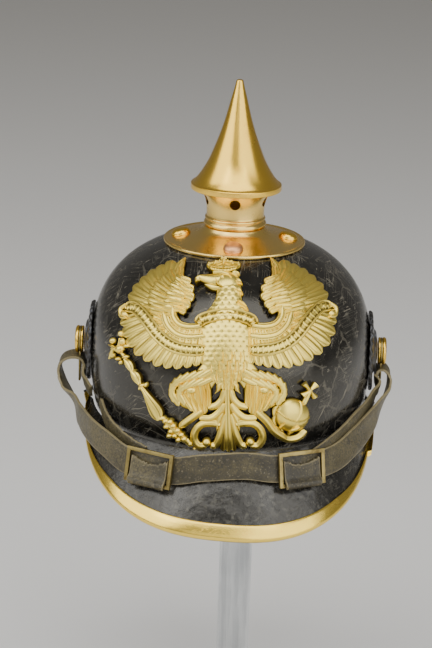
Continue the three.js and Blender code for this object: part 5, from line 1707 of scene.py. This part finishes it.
# %% Its knobs, the small eagle at its head, and the claw
KNOBS = (  # u, v, half its width, half its height, top
    (-59.6, -6.2, 1.9, 1.5, 3.6), (-54.4, -14.5, 1.8, 1.3, 3.8), (-49.4, -22.8, 2.0, 1.6, 3.8),
    (-50.6, -24.6, 1.1, 1.6, 3.2), (-47.0, -22.6, 1.1, 1.8, 3.2), (-37.6, -42.0, 2.6, 1.8, 4.2),
    (-63.2, -1.6, 2.6, 3.2, 4.2), (-61.4, 2.8, 1.7, 2.6, 3.8), (-62.6, 7.4, 1.2, 2.2, 3.4),
    (-67.8, 3.2, 1.4, 2.4, 3.6), (-66.6, -1.4, 2.0, 1.6, 3.8), (-68.0, -5.0, 1.4, 2.6, 3.6),
    (-64.4, -7.4, 1.6, 1.4, 3.4), (-62.4, -9.6, 1.2, 1.6, 3.2), (-59.0, 0.2, 1.8, 1.4, 3.4),
    (-21.2, -57.2, 2.2, 2.0, 3.6), (-24.4, -54.8, 2.4, 2.0, 3.8), (-18.8, -60.0, 1.3, 1.3, 3.0),
)
SMALL_WINGS = (
    [(-68.6, -7.4), (-66.6, -2), (-63.2, 0), (-61.8, 4.6)],
    [(-69.0, 1.0), (-66.4, -0.6), (-62.6, -3.6), (-60.0, -2.4)],
)
CLAW = (
    (-35.4, -43.6), (-32.8, -43.8), (-35.0, -46.8), (-30.8, -46.2), (-32.4, -49.6), (-28.4, -48.8),
    (-30.2, -52.2), (-26.2, -51.4), (-28.0, -54.6), (-24.6, -53.8), (-33.4, -52.2),
)
for u, v, radius, radius_v, top in KNOBS:
    bead(u, v, radius, top, radius_v, fine=10)
for points in SMALL_WINGS:
    strip(points, 1.8, 3.8, 0.2, leaf_width, fine=(18, 6))
for i, (u, v) in enumerate(CLAW):
    bead(u, v, 2.3, 4.2 + 0.3 * (i % 2), 1.9, fine=8)

# %% Orb
ORB, ORB_RADIUS, ORB_TOP = (38.6, -41.0), 10.4, 6.0


def on_orb(u, v):
    """The ball's own height at a place, and a little more."""
    far = np.clip(np.hypot(u - ORB[0], v - ORB[1]) / ORB_RADIUS, 0, 1)
    return ORB_TOP * (1 - far**2.2) ** 0.6 + 0.7


bead(*ORB, ORB_RADIUS, ORB_TOP, fine=26)
strip([(29.2, -37.4), (34.6, -41.6), (41, -43), (48.2, -41.6)], 2.2, on_orb, 0, fine=(30, 8))
strip([(43, -32), (41.6, -38), (38.4, -43.6)], 2.2, on_orb, 0, fine=(26, 8))

# %% The foot that holds the orb, and the cross
PALM = [(27.4, -47.0), (30.4, -52), (36.2, -54.8), (42, -53.6), (45.6, -49.8)]
FINGERS = (
    ([(33.9, -53.6), (31.4, -48.4), (32.4, -43.6)], 3.4),
    ([(36.4, -53.6), (37.4, -48.8), (40.4, -46)], 3.0),
    ([(29.6, -50.0), (27.6, -44.4), (28.8, -38.6)], 3.4),
    ([(28.2, -42.6), (28.4, -36.8), (31.4, -34.2)], 3.0),
)
CROSS, cross_arm = (48.4, -26.1), tapered((0, 0.3), (0.5, 0.6), (1, 1.0))
strip(PALM, 4.6, 4.0, 0, section=grooved_section, fine=(26, 10))
for finger, width in FINGERS:
    strip(finger, width, lambda u, v: on_orb(u, v) + 1.0, 0, leaf_width, fine=(18, 8))
strip([(44.6, -34.3), (46.6, -30.4), (48.2, -26.4)], 2.8, 3.6, 0, fine=(12, 6))
for degrees in (38, 128, 218, 308):
    du, dv = math.cos(math.radians(degrees)), math.sin(math.radians(degrees))
    arm = [(CROSS[0] + du * reach, CROSS[1] + dv * reach) for reach in (0.6, 2.8, 5.2)]
    strip(arm, 4.1, 3.4, 0.2, cross_arm, fine=(10, 8))
bead(*CROSS, 1.5, 3.9, fine=8)

# %% Join the casting
for sheet in blanks.values():
    bpy.data.objects.remove(sheet)
print("pieces of the casting:", len(casting))
plate = joined(casting)
finished(plate, "gilt_eagle", ["front_plate"], gilt, angle=50)

# %% [markdown]
# ## The stand
#
# The helmet rests on a clear acrylic rod with a frosted round foot and a small pad under the
# crown. Each is turned from solid acrylic, so each is a spun section with slightly rounded edges.

# %% Rod, pad and foot
FOOT_RADIUS, ROD_RADIUS, PAD_RADIUS = 70, 10.5, 16.5


def levels(node_name):
    """The bottom and top of a CAD node in helmet millimetres."""
    return (corner.z / MM - HELMET[2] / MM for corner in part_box(node_name))


rod_x, table_z = -HELMET[0] / MM, -HELMET[2] / MM
_, foot_top = levels("stand_base")
pad_low, pad_high = levels("stand_pad")
rod_low, rod_high = levels("stand_rod")
foot_rows = [(0, table_z), (FOOT_RADIUS, table_z), (FOOT_RADIUS, foot_top), (0, foot_top)]
rod_rows = [(0, rod_low), (ROD_RADIUS, rod_low), (ROD_RADIUS, rod_high), (0, rod_high)]
pad_rows = [(0, pad_low), (PAD_RADIUS - 2, pad_low), (PAD_RADIUS, pad_low + 2)]
pad_rows += [(PAD_RADIUS, pad_high - 0.9), (0, pad_high)]
for name, rows, node_name, edge, finish in (
    ("acrylic_foot", foot_rows, "stand_base", 1.5, frosted),
    ("acrylic_rod", rod_rows, "stand_rod", 0.5, acrylic),
    ("acrylic_pad", pad_rows, "stand_pad", 0.5, acrylic),
):
    turned_piece = spun(name, rows, steps=96, middle=(rod_x, 0))
    turned_piece = softened(turned_piece, edge, angle=30, segments=4)
    finished(turned_piece, name, [node_name], finish, angle=30)

# %% [markdown]
# ## Sizes
#
# Dressing a part must not change its size, so the dressed box is measured against the CAD box,
# and how far it reaches past it is printed.

# %% Measure and finish
low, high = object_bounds()
grown = [round(1000 * max(cad_low[i] - low[i], high[i] - cad_high[i]), 2) for i in range(3)]
print("millimetres past the CAD box in X, Y and Z:", grown)
